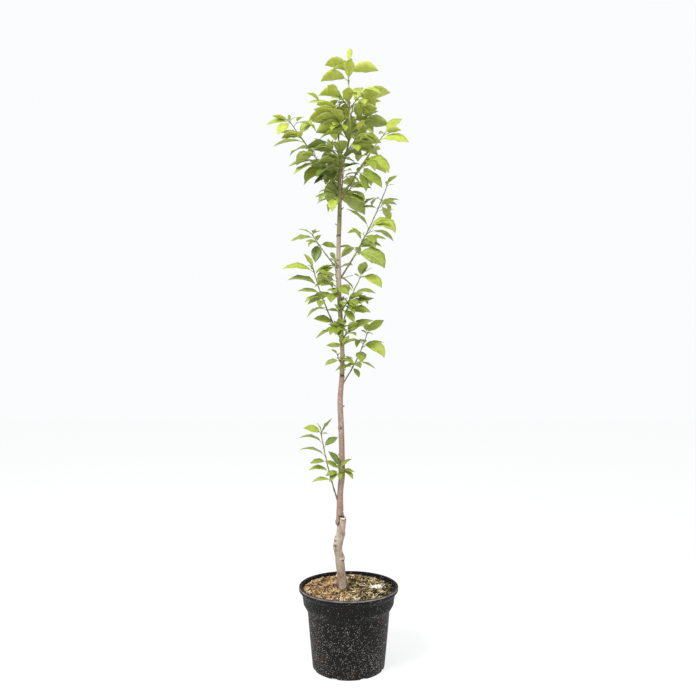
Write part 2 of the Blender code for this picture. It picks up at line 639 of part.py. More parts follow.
def make_trunk(group, cutters, material):
    points, radii = trunk_path()
    trunk = tube("trunk", points, radii, TRUNK_BEVEL, group, material)
    level_the_foot(trunk)
    lumps = new_collection("lumps")
    for number, (height, heading, radius) in enumerate(KNOBS):
        reach = trunk_radius(height) - radius * KNOB_SINK
        centre = trunk_point(height) + heading_vector(heading) * reach
        bpy.ops.mesh.primitive_uv_sphere_add(
            segments=KNOB_SIDES, ring_count=KNOB_RINGS, radius=radius, location=centre)
        knob = bpy.context.active_object
        knob.name = f"knob_{number + 1}"
        knob.scale = (1.0, 1.0, KNOB_STRETCH)
        hide_as_cutter(knob, lumps)
    foot = trunk_point(SNAG_FOOT_HEIGHT) + Vector((SNAG_OFFSET, 0.0, 0.0))
    length = SNAG_TOP_HEIGHT - SNAG_FOOT_HEIGHT
    middle = foot + Vector((0.0, 0.0, length / 2.0))
    bpy.ops.mesh.primitive_cylinder_add(
        vertices=SNAG_SIDES, radius=SNAG_RADIUS, depth=length, location=middle)
    snag = bpy.context.active_object
    snag.name = "snag"
    snag.rotation_euler = (0.0, math.radians(SNAG_LEAN), 0.0)
    hide_as_cutter(snag, lumps)
    join_by_union(trunk, lumps)
    shade_smooth(trunk, 45.0)
    wide = [radius + CLEARANCE for radius in radii]
    cutter = tube("trunk_cutter", points, wide, TRUNK_BEVEL, cutters)
    cutter.hide_render = True
    cutter.display_type = 'WIRE'
    return trunk, cutter


def level_the_foot(trunk):
    # The lowest ring is the flat cut at ground level.
    for vertex in trunk.data.vertices:
        if abs(vertex.co.z - GROUND_HEIGHT) < trunk_radius(GROUND_HEIGHT) / 2.0:
            vertex.co.z = GROUND_HEIGHT


# Shoots: a path that rises from its foot at one slope and ends at another.
def rising_path(start, heading, length, rise):
    count = max(2, round(length / LIMB_STEP))
    step = length / count
    along = heading_vector(heading)
    across = heading_vector(heading + 90.0)
    points = [start.copy()]
    place = start.copy()
    for number in range(count):
        share = (number + 0.5) / count
        slope = math.radians(rise[0] + (rise[1] - rise[0]) * share)
        place = place + (along * math.cos(slope) + Vector((0.0, 0.0, math.sin(slope)))) * step
        side = ZIGZAG if number % 2 else -ZIGZAG
        points.append(place + across * side)
    return points


def path_place(points, distance):
    # The point and direction at a distance along a path.
    for start, end in zip(points, points[1:]):
        run = (end - start).length
        if distance <= run or end is points[-1]:
            return start + (end - start) * (distance / run), (end - start).normalized()
        distance -= run
    return points[-1], (points[-1] - points[-2]).normalized()


def path_part(points, first, last):
    # The stretch of a path between two distances along it.
    part = [path_place(points, first)[0]]
    travelled = 0.0
    for start, end in zip(points, points[1:]):
        travelled += (end - start).length
        if first + CLEARANCE * 4 < travelled < last - CLEARANCE * 4:
            part.append(end.copy())
    part.append(path_place(points, last)[0])
    return part


def path_length(points):
    return sum((end - start).length for start, end in zip(points, points[1:]))


def widths_along(points, first_width, last_width):
    total = path_length(points)
    travelled = 0.0
    radii = [first_width / 2.0]
    for start, end in zip(points, points[1:]):
        travelled += (end - start).length
        share = travelled / total
        radii.append((first_width + (last_width - first_width) * share) / 2.0)
    return radii


# Leaves: a solid blade on a stalk, folded along its midrib and arching down to its tip.
def leaf_line(leaf, distance):
    # Centre and upward direction of the leaf at a distance from its root. The stalk is
    # straight; along the blade the slope falls steadily.
    stalk = leaf["length"] * STALK_SHARE
    out = heading_vector(leaf["heading"])
    up = Vector((0.0, 0.0, 1.0))
    lift = math.radians(leaf["pitch"] + leaf["stalk_lift"])
    along_stalk = out * math.cos(lift) + up * math.sin(lift)
    if distance <= stalk:
        return leaf["root"] + along_stalk * distance, out * -math.sin(lift) + up * math.cos(lift)
    pitch = math.radians(leaf["pitch"])
    arch = math.radians(leaf["arch"])
    blade = leaf["length"] - stalk
    share = (distance - stalk) / blade
    slope = pitch - arch * share
    reach = blade / arch * (math.sin(pitch) - math.sin(slope))
    climb = blade / arch * (math.cos(slope) - math.cos(pitch))
    place = leaf["root"] + along_stalk * stalk + out * reach + up * climb
    return place, out * -math.sin(slope) + up * math.cos(slope)


def shape_leaf(leaf, room=0.0):
    # A ball of 4 sides, drawn out into a stalk and blade: its poles are the root and the
    # tip, and each ring has an upper and a lower point on the midrib and one on each edge.
    rings = len(LEAF_RINGS) + 2
    shell = bmesh.new()
    bmesh.ops.create_uvsphere(shell, u_segments=4, v_segments=rings, radius=1.0)
    stalk = leaf["length"] * STALK_SHARE
    blade = leaf["length"] - stalk
    across = heading_vector(leaf["heading"] + 90.0)
    for vertex in shell.verts:
        ring = round((1.0 - math.acos(max(-1.0, min(1.0, vertex.co.z))) / math.pi) * rings)
        if ring == 0:
            distance, half, thick, fold = -ROOT_SINK - room, 0.0, 0.0, 0.0
        elif ring == 1:
            distance, half, thick, fold = 0.0, STALK_HALF_WIDTH, STALK_HALF_WIDTH, 0.0
        elif ring == rings:
            distance, half, thick, fold = leaf["length"] + room, 0.0, 0.0, 0.0
        else:
            share = LEAF_RINGS[ring - 2]
            distance = stalk + blade * share
            half = blade * LEAF_HALF_WIDTHS[ring - 2] * leaf["breadth"]
            thick = leaf["length"] * LEAF_THICKNESS * (1.0 - share * LEAF_THINNING) / 2.0
            fold = math.radians(leaf["fold"])
        centre, upward = leaf_line(leaf, distance)
        roll = Matrix.Rotation(math.radians(leaf["roll"]) if ring > 1 else 0.0, 3, upward.cross(across))
        side, normal = roll @ across, roll @ upward
        if abs(vertex.co.x) > abs(vertex.co.y):
            sign = 1.0 if vertex.co.x > 0.0 else -1.0
            reach = (half + (room if half else 0.0)) * sign
            vertex.co = centre + side * (reach * math.cos(fold)) + normal * (abs(reach) * math.sin(fold))
        elif abs(vertex.co.y) > CLEARANCE:
            sign = 1.0 if vertex.co.y > 0.0 else -1.0
            vertex.co = centre + normal * ((thick + (room if thick else 0.0)) * sign)
        else:
            vertex.co = centre
    bmesh.ops.recalc_face_normals(shell, faces=shell.faces)
    return shell


def blade_tree(shell, leaf):
    # The blade alone, without the stalk that sinks into the stem.
    root = leaf["root"]
    clear = leaf["length"] * STALK_SHARE * FREE_STALK_SHARE
    keep = [face for face in shell.faces if min((v.co - root).length for v in face.verts) > clear]
    shell.verts.index_update()
    places = [vertex.co.copy() for vertex in shell.verts]
    return BVHTree.FromPolygons(places, [[v.index for v in face.verts] for face in keep])


def solid_tree(thing):
    places = [thing.matrix_world @ vertex.co for vertex in thing.data.vertices]
    faces = [list(face.vertices) for face in thing.data.polygons]
    return BVHTree.FromPolygons(places, faces)


def grow_leaf(leaf, owner, taken):
    # The leaf turns a little on its stem where it would touch another part, and is left
    # out where no turn helps.
    first_heading = leaf["heading"]
    for turn in LEAF_TRIES:
        leaf["heading"] = first_heading + turn
        shell = shape_leaf(leaf)
        blade = blade_tree(shell, leaf)
        roomy = shape_leaf(leaf, LEAF_ROOM)
        whole = BVHTree.FromBMesh(roomy)
        roomy.free()
        touches = False
        for other_owner, other_whole, other_blade in taken:
            if other_owner == owner:
                touches = bool(blade.overlap(other_blade))
            else:
                touches = bool(whole.overlap(other_whole))
            if touches:
                break
        if not touches:
            taken.append((owner, BVHTree.FromBMesh(shell), blade))
            return shell
        shell.free()
    return None


def leaf_plan(root, heading, pitch, length, chance):
    return dict(
        root=root,
        heading=heading,
        pitch=pitch,
        stalk_lift=STALK_LIFT,
        length=length,
        breadth=chance.uniform(*LEAF_BREADTH),
        arch=chance.uniform(*LEAF_ARCH),
        fold=chance.uniform(*LEAF_FOLD),
        roll=chance.uniform(*LEAF_ROLL),
    )


def tip_leaf_plan(points, length, chance):
    root, along = path_place(points, path_length(points) - ROOT_SINK * 2.0)
    slope = math.degrees(math.asin(max(-1.0, min(1.0, along.z))))
    heading = math.degrees(math.atan2(along.y, along.x))
    pitch = slope - (90.0 - slope) * TIP_LEAF_DROOP
    leaf = leaf_plan(root, heading, pitch, length * TIP_LEAF_SIZE, chance)
    leaf["stalk_lift"] = TIP_STALK_LIFT
    leaf["breadth"] *= TIP_LEAF_BREADTH
    leaf["arch"] *= TIP_LEAF_ARCH
    return leaf


def leaves_on_stem(points, shoot, count, length, turn, first, chance):
    # One leaf at each node, turned by the shoot's rule and drawn a little towards the
    # tip, and one that carries on from the end of the stem.
    total = path_length(points)
    plans = []
    for number in range(count - 1):
        share = (number + NODE_START + chance.uniform(-NODE_SPREAD, NODE_SPREAD)) / count
        share *= shoot["reach"]
        root, along = path_place(points, total * share)
        turned = first + number * turn + chance.uniform(-HEADING_SPREAD, HEADING_SPREAD)
        out = heading_vector(shoot["heading"] + turned)
        out += Vector((along.x, along.y, 0.0)) * TIPWARD_PULL
        heading = math.degrees(math.atan2(out.y, out.x))
        pitch = chance.uniform(*shoot["pitch"])
        middle = math.sin(math.pi * min(share + MIDDLE_SHIFT, 1.0))
        size = length * (SMALLEST_SHARE + MIDDLE_GAIN * middle) * chance.uniform(*LEAF_SIZE)
        plans.append(leaf_plan(root, heading, pitch, size, chance))
    plans.append(tip_leaf_plan(points, length, chance))
    return plans


# A mass of foliage: a stem with its side twigs, and leaves rooted in both.
def plan_shoot(shoot):
    # A shoot with no height of its own carries on from the trunk's tip.
    if shoot["height"] is None:
        start = trunk_point(LEADER[-1][0]) + Vector((0.0, 0.0, CLEARANCE))
    else:
        start = trunk_point(shoot["height"])
    bare = shoot["bare"]
    path = rising_path(start, shoot["heading"], bare + shoot["leafy"], shoot["rise"])
    total = path_length(path)
    split_width = shoot["width"] + (STEM_TIP_WIDTH - shoot["width"]) * bare / total
    return dict(
        shoot=shoot,
        chance=random.Random(shoot["seed"]),
        leaves=0,
        bough=path_part(path, 0.0, bare) if bare else None,
        bough_widths=(shoot["width"], split_width),
        stem=path_part(path, bare + CLEARANCE, total) if bare else path,
        stem_widths=(split_width, STEM_TIP_WIDTH),
    )


def make_boughs_and_stems(plans, group, cutter, bark, shoot_bark):
    for plan in plans:
        shoot = plan["shoot"]
        on_trunk = shoot["height"] is not None
        if plan["bough"]:
            name = "bough_" + shoot["name"]
            radii = widths_along(plan["bough"], *plan["bough_widths"])
            bough = tube(name, plan["bough"], radii, BOUGH_BEVEL, group, bark)
            add_boolean(bough, 'DIFFERENCE', other=cutter)
            apply_modifiers(bough)
            shade_smooth(bough, 45.0)
            plan["bough_object"] = bough
        radii = widths_along(plan["stem"], *plan["stem_widths"])
        stem = tube("foliage_" + shoot["name"], plan["stem"], radii, STEM_BEVEL, group, shoot_bark)
        if on_trunk and not plan["bough"]:
            add_boolean(stem, 'DIFFERENCE', other=cutter)
            apply_modifiers(stem)
        plan["stem_object"] = stem


def make_twigs(plan, taken):
    # Side twigs rise from the stem; one that would touch another part is left out.
    shoot = plan["shoot"]
    plan["twigs"] = []
    plan["parts"] = new_collection("parts_" + shoot["name"])
    total = path_length(plan["stem"])
    for number, (share, heading, length, leaves) in enumerate(shoot["twigs"]):
        start, _ = path_place(plan["stem"], total * share)
        path = rising_path(start, heading, length, TWIG_RISE)
        radii = widths_along(path, TWIG_WIDTH, TWIG_TIP_WIDTH)
        twig = tube(f"twig_{number + 1}", path, radii, TWIG_BEVEL, plan["parts"])
        tree = solid_tree(twig)
        if any(owner != shoot["name"] and tree.overlap(whole) for owner, whole, _ in taken):
            bpy.data.objects.remove(twig)
            continue
        taken.append((shoot["name"], tree, tree))
        plan["twigs"].append((path, heading, leaves))


def set_leaves(plan, chance):
    total = path_length(plan["stem"])
    plans = []
    for share, heading, pitch, length, arch, roll in SET_LEAVES.get(plan["shoot"]["name"], ()):
        root, _ = path_place(plan["stem"], total * share)
        leaf = leaf_plan(root, heading, pitch, length, chance)
        leaf["arch"] = arch
        leaf["roll"] = roll
        plans.append(leaf)
    return plans


def planned_leaves(plan, shoot, chance):
    wanted = leaves_on_stem(plan["stem"], shoot, shoot["leaves"], shoot["leaf"],
                            shoot["turn"], shoot["first"], chance)
    for path, heading, leaves in plan["twigs"]:
        twig_shoot = dict(shoot, heading=heading, reach=1.0)
        size = shoot["leaf"] * TWIG_LEAF_SHARE
        wanted += leaves_on_stem(path, twig_shoot, leaves, size, TWIG_TURN, TWIG_FIRST, chance)
    return wanted


def make_leaves(plan, wanted, taken):
    shoot = plan["shoot"]
    for leaf in wanted:
        shell = grow_leaf(leaf, shoot["name"], taken)
        if shell is None:
            continue
        plan["leaves"] += 1
        mesh = bpy.data.meshes.new("leaf")
        shell.to_mesh(mesh)
        shell.free()
        add_object(f"leaf_{plan['leaves']}", mesh, plan["parts"])


def main():
    clear_scene()
    tree = new_collection(OBJECT_NAME)
    cutters = new_collection("cutters", hidden=True)
    black_plastic = make_material("black_plastic", (0.018, 0.018, 0.019), 0.62)
    mix_chips = make_material("mix_chips", (0.23, 0.15, 0.075), 0.95)
    bark = make_material("bark", (0.42, 0.33, 0.26), 0.85)
    young_bark = make_material("young_bark", (0.17, 0.16, 0.07), 0.7)
    leaf_green = make_material("leaf_green", (0.26, 0.40, 0.05), 0.5)
    make_pot(tree, cutters, black_plastic)
    make_mix(tree, mix_chips)
    trunk, trunk_cutter = make_trunk(tree, cutters, bark)
    plans = [plan_shoot(shoot) for shoot in SHOOTS]
    make_boughs_and_stems(plans, tree, trunk_cutter, young_bark, leaf_green)
    trunk_tree = solid_tree(trunk)
    taken = [("trunk", trunk_tree, trunk_tree)]
    for plan in plans:
        if plan["bough"]:
            bough_tree = solid_tree(plan["bough_object"])
            taken.append(("bough", bough_tree, bough_tree))
        stem_tree = solid_tree(plan["stem_object"])
        taken.append((plan["shoot"]["name"], stem_tree, stem_tree))
    for plan in plans:
        make_twigs(plan, taken)
    for plan in plans:
        make_leaves(plan, set_leaves(plan, plan["chance"]), taken)
    for plan in plans:
        make_leaves(plan, planned_leaves(plan, plan["shoot"], plan["chance"]), taken)
    for plan in plans:
        join_by_union(plan["stem_object"], plan["parts"])
    print("leaves:", sum(plan["leaves"] for plan in plans))


main()
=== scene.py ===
# A young grafted persimmon tree in its nursery pot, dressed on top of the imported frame.
# Metres, Z up, seen from -Y. Headings are degrees round Z: 0 is right, 90 away, 180 left.
import math
import random

import bpy
from mathutils import Matrix, Vector, kdtree, noise


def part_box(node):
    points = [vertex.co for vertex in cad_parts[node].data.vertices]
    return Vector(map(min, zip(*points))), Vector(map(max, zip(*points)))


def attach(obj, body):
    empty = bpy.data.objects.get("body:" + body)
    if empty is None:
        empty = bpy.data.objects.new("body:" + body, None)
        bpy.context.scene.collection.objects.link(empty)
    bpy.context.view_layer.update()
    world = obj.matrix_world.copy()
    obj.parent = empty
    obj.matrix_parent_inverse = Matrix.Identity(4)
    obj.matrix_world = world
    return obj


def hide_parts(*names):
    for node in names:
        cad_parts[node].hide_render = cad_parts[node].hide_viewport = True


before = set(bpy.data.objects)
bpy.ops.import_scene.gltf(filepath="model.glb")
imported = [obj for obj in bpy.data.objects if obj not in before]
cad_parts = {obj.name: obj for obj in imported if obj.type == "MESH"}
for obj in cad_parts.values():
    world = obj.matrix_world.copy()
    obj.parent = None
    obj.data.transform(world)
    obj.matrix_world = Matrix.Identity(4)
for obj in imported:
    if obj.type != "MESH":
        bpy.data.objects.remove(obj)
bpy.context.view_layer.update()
bpy.ops.object.select_all(action='DESELECT')
print("frame loaded:", len(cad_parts), "nodes")


# camera, lights and floor
view = {
    "place": (-0.0015, -1.561, 0.661),
    "tilt": 3.724,          # degrees up from level
    "lens": 32.59,
    "sensor": 36.0,
    "farthest": 60.0,        # how far the camera sees
    "worldColour": (0.965, 0.972, 0.980),
    "worldLight": 0.76,      # how strongly the background lights the tree
    "keyPlace": (-1.5, -1.9, 2.9),
    "keyPower": 90.0,
    "keySize": 1.1,
    "fillPlace": (2.3, -1.4, 1.6),
    "fillPower": 10.0,
    "fillSize": 2.4,
    "lightTarget": (0.0, 0.0, 0.8),
    "floorColour": (0.26, 0.258, 0.255),
    "floorGlow": 0.785,      # keeps the far floor as bright as the background
    "glowColour": (0.98, 0.985, 0.99),
    "floorSize": 24.0,
}


def addLight(kind):
    place = Vector(view[kind + "Place"])
    bpy.ops.object.light_add(type='AREA', location=place)
    light = bpy.context.object
    light.name = kind + "Light"
    light.data.energy = view[kind + "Power"]
    light.data.size = view[kind + "Size"]
    light.rotation_euler = (Vector(view["lightTarget"]) - place).to_track_quat('-Z', 'Y').to_euler()


bpy.ops.object.camera_add(location=view["place"], rotation=(math.radians(90.0 + view["tilt"]), 0.0, 0.0))
camera = bpy.context.object
camera.data.sensor_width = view["sensor"]
camera.data.lens = view["lens"]
camera.data.clip_end = view["farthest"]
bpy.context.scene.camera = camera
addLight("key")
addLight("fill")

world = bpy.data.worlds.new("studio")
world.use_nodes = True
background = world.node_tree.nodes["Background"]
background.inputs["Color"].default_value = (*view["worldColour"], 1.0)
seen = world.node_tree.nodes.new('ShaderNodeLightPath')
strength = world.node_tree.nodes.new('ShaderNodeMapRange')
strength.inputs["To Min"].default_value = view["worldLight"]
world.node_tree.links.new(seen.outputs["Is Camera Ray"], strength.inputs["Value"])
world.node_tree.links.new(strength.outputs["Result"], background.inputs["Strength"])
bpy.context.scene.world = world
bpy.context.scene.view_settings.view_transform = 'Standard'


# shader helpers
class Wire:
    # one value in a shader, so that its maths reads as plain maths
    def __init__(self, finish, output):
        self.finish = finish
        self.output = output

    def maths(self, operation, *values):
        return self.finish.node('ShaderNodeMath', {"operation": operation}, dict(enumerate(values)))

    def __add__(self, other):
        return self.maths('ADD', self, other)

    def __radd__(self, other):
        return self.maths('ADD', other, self)

    def __sub__(self, other):
        return self.maths('SUBTRACT', self, other)

    def __rsub__(self, other):
        return self.maths('SUBTRACT', other, self)

    def __mul__(self, other):
        return self.maths('MULTIPLY', self, other)

    def __truediv__(self, other):
        return self.maths('DIVIDE', self, other)

    def __pow__(self, other):
        return self.maths('POWER', self, other)

    def __abs__(self):
        return self.maths('ABSOLUTE', self)

    def fraction(self):
        return self.maths('FRACT', self)

    def smallest(self, other):
        return self.maths('MINIMUM', self, other)

    def over(self, other):
        # 1 where this value is the larger, 0 elsewhere
        return self.maths('GREATER_THAN', self, other)

    def ramp(self, low, high):
        # 0 at low and 1 at high, eased between
        values = {"Value": self, "From Min": low, "From Max": high}
        return self.finish.node('ShaderNodeMapRange', {"interpolation_type": 'SMOOTHSTEP'}, values)


class Finish:
    # one material, whose nodes are added through node()
    def __init__(self, name):
        self.material = bpy.data.materials.new(name)
        self.material.use_nodes = True
        self.tree = self.material.node_tree
        self.shader = self.tree.nodes["Principled BSDF"]

    def node(self, kind, settings=None, values=None, output=0):
        made = self.tree.nodes.new(kind)
        for key, value in (settings or {}).items():
            if key == "stops":
                self.fillRamp(made.color_ramp, value)
            else:
                setattr(made, key, value)
        for key, value in (values or {}).items():
            self.feed(self.socket(made, key), value)
        return Wire(self, made.outputs[output])

    def fillRamp(self, ramp, stops):
        for element, (place, colour) in ((ramp.elements[0], stops[0]), (ramp.elements[1], stops[-1])):
            element.position = place
            element.color = (*colour, 1.0)
        for place, colour in stops[1:-1]:
            ramp.elements.new(place).color = (*colour, 1.0)

    def socket(self, made, key):
        # by its number, its identifier or its name
        found = [candidate for candidate in made.inputs if candidate.identifier == key]
        return found[0] if found else made.inputs[key]

    def feed(self, socket, value):
        if isinstance(value, Wire):
            self.tree.links.new(value.output, socket)
        elif isinstance(value, tuple) and len(value) == 3 and socket.type == 'RGBA':
            socket.default_value = (*value, 1.0)
        else:
            socket.default_value = value

    def set(self, **values):
        for key, value in values.items():
            self.feed(self.shader.inputs[key.replace("_", " ")], value)

    def place(self):
        return self.node('ShaderNodeTexCoord', output=3)

    def tall(self, vector, share):
        # with this share of the height, a pattern is drawn out along Z
        values = {"Vector": vector, "Scale": (1.0, 1.0, share)}
        return self.node('ShaderNodeMapping', {"vector_type": 'POINT'}, values)

    def noise(self, vector, scale, detail=3.0, roughness=0.55):
        values = {"Vector": vector, "Scale": scale, "Detail": detail, "Roughness": roughness}
        return self.node('ShaderNodeTexNoise', None, values)

    def cells(self, vector, scale, output=0):
        return self.node('ShaderNodeTexVoronoi', None, {"Vector": vector, "Scale": scale}, output)

    def axis(self, vector, index):
        return self.node('ShaderNodeSeparateXYZ', None, {"Vector": vector}, index)

    def attribute(self, name):
        return self.node('ShaderNodeAttribute', {"attribute_name": name}, None, 2)

    def mix(self, factor, first, second):
        values = {"Factor_Float": factor, "A_Color": first, "B_Color": second}
        return self.node('ShaderNodeMix', {"data_type": 'RGBA'}, values, 2)

    def layers(self, colour, look, **shares):
        # colours of a look, laid one over the other, each by its share
        for name, share in shares.items():
            colour = self.mix(share, colour, look[name])
        return colour

    def bump(self, height, distance, strength=1.0):
        values = {"Height": height, "Distance": distance, "Strength": strength}
        return self.node('ShaderNodeBump', None, values)


# finishes
def floorFinish():
    finish = Finish("pale_floor")
    finish.set(Base_Color=view["floorColour"], Roughness=1.0, Specular_IOR_Level=0.0,
               Emission_Color=view["glowColour"], Emission_Strength=view["floorGlow"])
    return finish.material


plasticLook = {
    "black": (0.0062, 0.0055, 0.0052),
    "film": (0.066, 0.044, 0.031),        # dried mud
    # painted shadow: a near-black line just under the collar's lower edge
    "groove": (0.0015, 0.0015, 0.0015),
    "speck": (0.74, 0.72, 0.66),
    # painted highlight: a pale grey along the rim's outer top edge
    "lip": (0.40, 0.38, 0.35),
    "specks": ((300.0, 0.22), (480.0, 0.27), (720.0, 0.33)),     # cells to a metre, a speck's share of one
    "share": 0.03,            # of the cells that hold a speck, and how many more do
    "bodyShare": 0.045,       # below the collar,
    "lowShare": 0.09,         # low down,
    "sideShare": 0.05,        # to the sides,
    "flankShare": 0.11,       # to the sides of the body
    "patchShare": 0.10,       # and in patches
    "lowZone": (0.010, 0.135),
    "sideZone": (0.035, 0.095),
    "collarFoot": (0.142, 0.148),
    "lipHeight": (0.1836, 0.1848),
    "lipRadius": (0.01400, 0.01432),      # squared
    "grooveZone": (0.1405, 0.1420, 0.1460, 0.1468),
}


def plasticFinish():
    # matt black plastic with a painted highlight along the lip's outer edge and a painted shadow under the
    # collar, dusted with pale specks that thicken low down and to the sides
    look = plasticLook
    finish = Finish("dusty_black_plastic")
    place = finish.place()
    height = finish.axis(place, 2)
    across, back = finish.axis(place, 0), finish.axis(place, 1)
    side = abs(across).ramp(*look["sideZone"])
    patches = finish.noise(place, 16.0)
    low = 1.0 - height.ramp(*look["lowZone"])
    below = 1.0 - height.ramp(*look["collarFoot"])
    wanted = look["share"] + below * look["bodyShare"] + low * look["lowShare"] + side * look["sideShare"]
    wanted = wanted + side * below * look["flankShare"] + patches.ramp(0.45, 0.70) * look["patchShare"]
    specks = 0.0
    for scale, size in look["specks"]:
        spread = finish.cells(place, scale)
        lot = finish.axis(finish.cells(place, scale, 1), 0)
        specks = specks + (1.0 - lot.over(wanted)) * (1.0 - spread.ramp(size * 0.55, size))
    specks = specks.smallest(1.0)
    film = finish.noise(place, 45.0, 4.0).ramp(0.45, 0.80) * (low * 0.35 + side * below * 0.60)
    # painted highlight, streaked, along the outer top edge of the rim
    edge = (across * across + back * back).ramp(*look["lipRadius"]) * height.ramp(*look["lipHeight"])
    lip = edge * (0.45 + finish.noise(place, 60.0).ramp(0.35, 0.62) * 0.55)
    # painted shadow under the collar's lower edge, in this band of heights
    groove = height.ramp(*look["grooveZone"][:2]) * (1.0 - height.ramp(*look["grooveZone"][2:]))
    colour = finish.layers(look["black"], look, film=film * 0.7, groove=groove * 0.9, speck=specks * 0.95,
                           lip=lip * 0.58)
    grain = finish.noise(place, 900.0, 2.0)
    finish.set(Base_Color=colour, Roughness=0.58 + specks * 0.3 + film * 0.1, Specular_IOR_Level=0.16,
               Normal=finish.bump(grain * 0.4 + specks * 0.6, 0.0003, 0.5))
    return finish.material


def chipFinish(name, colour, dark):
    finish = Finish(name)
    place = finish.place()
    grain = finish.noise(finish.tall(place, 3.0), 420.0)
    shade = finish.noise(place, 130.0, 2.0)
    tone = finish.mix(shade.ramp(0.35, 0.68), dark, colour)
    finish.set(Base_Color=finish.mix(grain.ramp(0.55, 0.80) * 0.5, tone, dark), Roughness=0.92,
               Normal=finish.bump(grain, 0.0006, 0.7))
    return finish.material


trunkLook = {
    "scionFoot": 0.34,        # where the scion's colours begin, and how far up they reach
    "scionReach": 1.10,
    "scion": (                # share of that reach, and colour
        (0.00, (0.335, 0.215, 0.165)), (0.14, (0.325, 0.215, 0.165)), (0.24, (0.345, 0.235, 0.190)),
        (0.315, (0.300, 0.190, 0.160)), (0.328, (0.225, 0.205, 0.085)), (0.40, (0.325, 0.300, 0.170)),
        (0.50, (0.365, 0.325, 0.195)), (0.56, (0.400, 0.335, 0.260)), (0.63, (0.370, 0.300, 0.220)),
        (0.65, (0.215, 0.200, 0.075)), (0.76, (0.270, 0.235, 0.095)), (0.81, (0.260, 0.190, 0.085)),
        (0.85, (0.250, 0.265, 0.070)), (1.00, (0.400, 0.480, 0.110)),
    ),
    "stock": ((0.290, 0.200, 0.135), (0.550, 0.465, 0.375)),      # the rootstock's dark and light patches
    "ochre": (0.36, 0.285, 0.165),
    "crack": (0.16, 0.105, 0.070),
    "graftPale": (0.57, 0.485, 0.400),        # paler near the graft
    "paleZone": (0.262, 0.302),
    "beige": (0.46, 0.395, 0.315),
    "streak": (0.150, 0.090, 0.062),
    "shade": (0.17, 0.105, 0.075),
    "pore": (0.68, 0.60, 0.50),
    # pale: lenticels, worn knobs, and painted highlight on the knobs
    "worn": (0.74, 0.69, 0.62),
    # near black: scars, and painted shade in the creases and in the gaps round the graft and the stub
    "scar": (0.022, 0.014, 0.011),
}


def trunkFinish():
    # beige rootstock; the scion is pinkish brown, olive among the leaves and green above the fork
    look = trunkLook
    finish = Finish("young_trunk_bark")
    place = finish.place()
    height = finish.axis(place, 2)
    reached = (height - look["scionFoot"]) / look["scionReach"]
    scion = finish.node('ShaderNodeValToRGB', {"stops": look["scion"]}, {"Fac": reached})
    streaks = finish.noise(finish.tall(place, 0.10), 230.0, 4.0)
    patches = finish.noise(finish.tall(place, 0.45), 60.0, 4.0)
    broad = finish.noise(finish.tall(place, 0.30), 26.0, 2.0)
    crackle = finish.noise(finish.tall(place, 0.60), 320.0)
    pores = finish.cells(finish.tall(place, 0.55), 240.0)
    stock = finish.layers(finish.mix(patches.ramp(0.36, 0.64), *look["stock"]), look,
                          ochre=broad.ramp(0.50, 0.68) * 0.55,
                          crack=(1.0 - crackle.ramp(0.36, 0.50)) * 0.45,
                          graftPale=height.ramp(*look["paleZone"]) * 0.50)
    colour = finish.layers(finish.mix(finish.attribute("stock"), scion, stock), look,
                           beige=broad.ramp(0.52, 0.74) * 0.38,
                           streak=streaks.ramp(0.50, 0.68) * 0.60,
                           shade=(1.0 - patches.ramp(0.30, 0.46)) * 0.35,
                           pore=(1.0 - pores.ramp(0.10, 0.24)) * 0.65,
                           worn=finish.attribute("worn"),
                           scar=finish.attribute("scar"))
    relief = streaks * 0.7 + patches * 0.6 + crackle * 0.3 - pores.ramp(0.05, 0.25) * 0.25
    finish.set(Base_Color=colour, Roughness=0.72 + patches * 0.16, Specular_IOR_Level=0.30,
               Normal=finish.bump(relief, 0.0012, 1.0))
    return finish.material


def limbFinish(name, young, old, speckle):
    finish = Finish(name)
    place = finish.place()
    shade = finish.noise(place, 60.0)
    grain = finish.noise(finish.tall(place, 0.3), 380.0)
    colour = finish.mix(shade.ramp(0.35, 0.66), young, old)
    colour = finish.mix((1.0 - finish.cells(place, 330.0).ramp(0.12, 0.26)) * 0.4, colour, speckle)
    finish.set(Base_Color=colour, Roughness=0.62, Normal=finish.bump(grain, 0.0004, 0.6))
    return finish.material


bladeLook = {
    "ribs": 8.0,              # side veins on each half
    "slant": 1.9,
    "curve": 0.8,
    "veins": (0.50, 0.62),    # how far the veins' colour shows above and below
    "deeper": 0.78,
    # painted highlight: the blade is this much paler towards its edge
    "edge": 1.12,
}


def leafFinish(name, colour, veinColour, gloss, under=False):
    # the blade's own map runs across from 0 to 1 and from its foot, 0, to its tip, 1
    look = bladeLook
    finish = Finish(name)
    blade = finish.node('ShaderNodeUVMap', {"uv_map": "bladeMap"})
    across = abs(finish.axis(blade, 0) - 0.5) * 2.0
    along = finish.axis(blade, 1)
    rib = 1.0 - across.ramp(0.015, 0.085)
    line = abs((along * look["ribs"] - across ** look["curve"] * look["slant"]).fraction() - 0.5) * 2.0
    sideVeins = line.ramp(0.80, 0.97) * (1.0 - across.ramp(0.70, 1.0))
    veins = (rib + sideVeins * 0.55).smallest(1.0)
    place = finish.place()
    mottle = finish.noise(place, 95.0)
    fine = finish.noise(place, 700.0, 2.0)
    deeper, edge = (tuple(part * look[key] for part in colour) for key in ("deeper", "edge"))
    tone = finish.mix(mottle.ramp(0.32, 0.70), deeper, colour)
    # painted highlight along the blade's edge
    tone = finish.mix(across.ramp(0.55, 1.0) * 0.22, tone, edge)
    tone = finish.mix(veins * look["veins"][under], tone, veinColour)
    hump = 1.0 - line.ramp(0.35, 0.97)
    relief = (veins * 0.9 + fine * 0.15) if under else (hump * 0.55 - rib * 0.7 + fine * 0.12)
    finish.set(Base_Color=tone, Roughness=gloss + mottle * 0.12, Normal=finish.bump(relief, 0.0006, 0.75))
    return finish.material


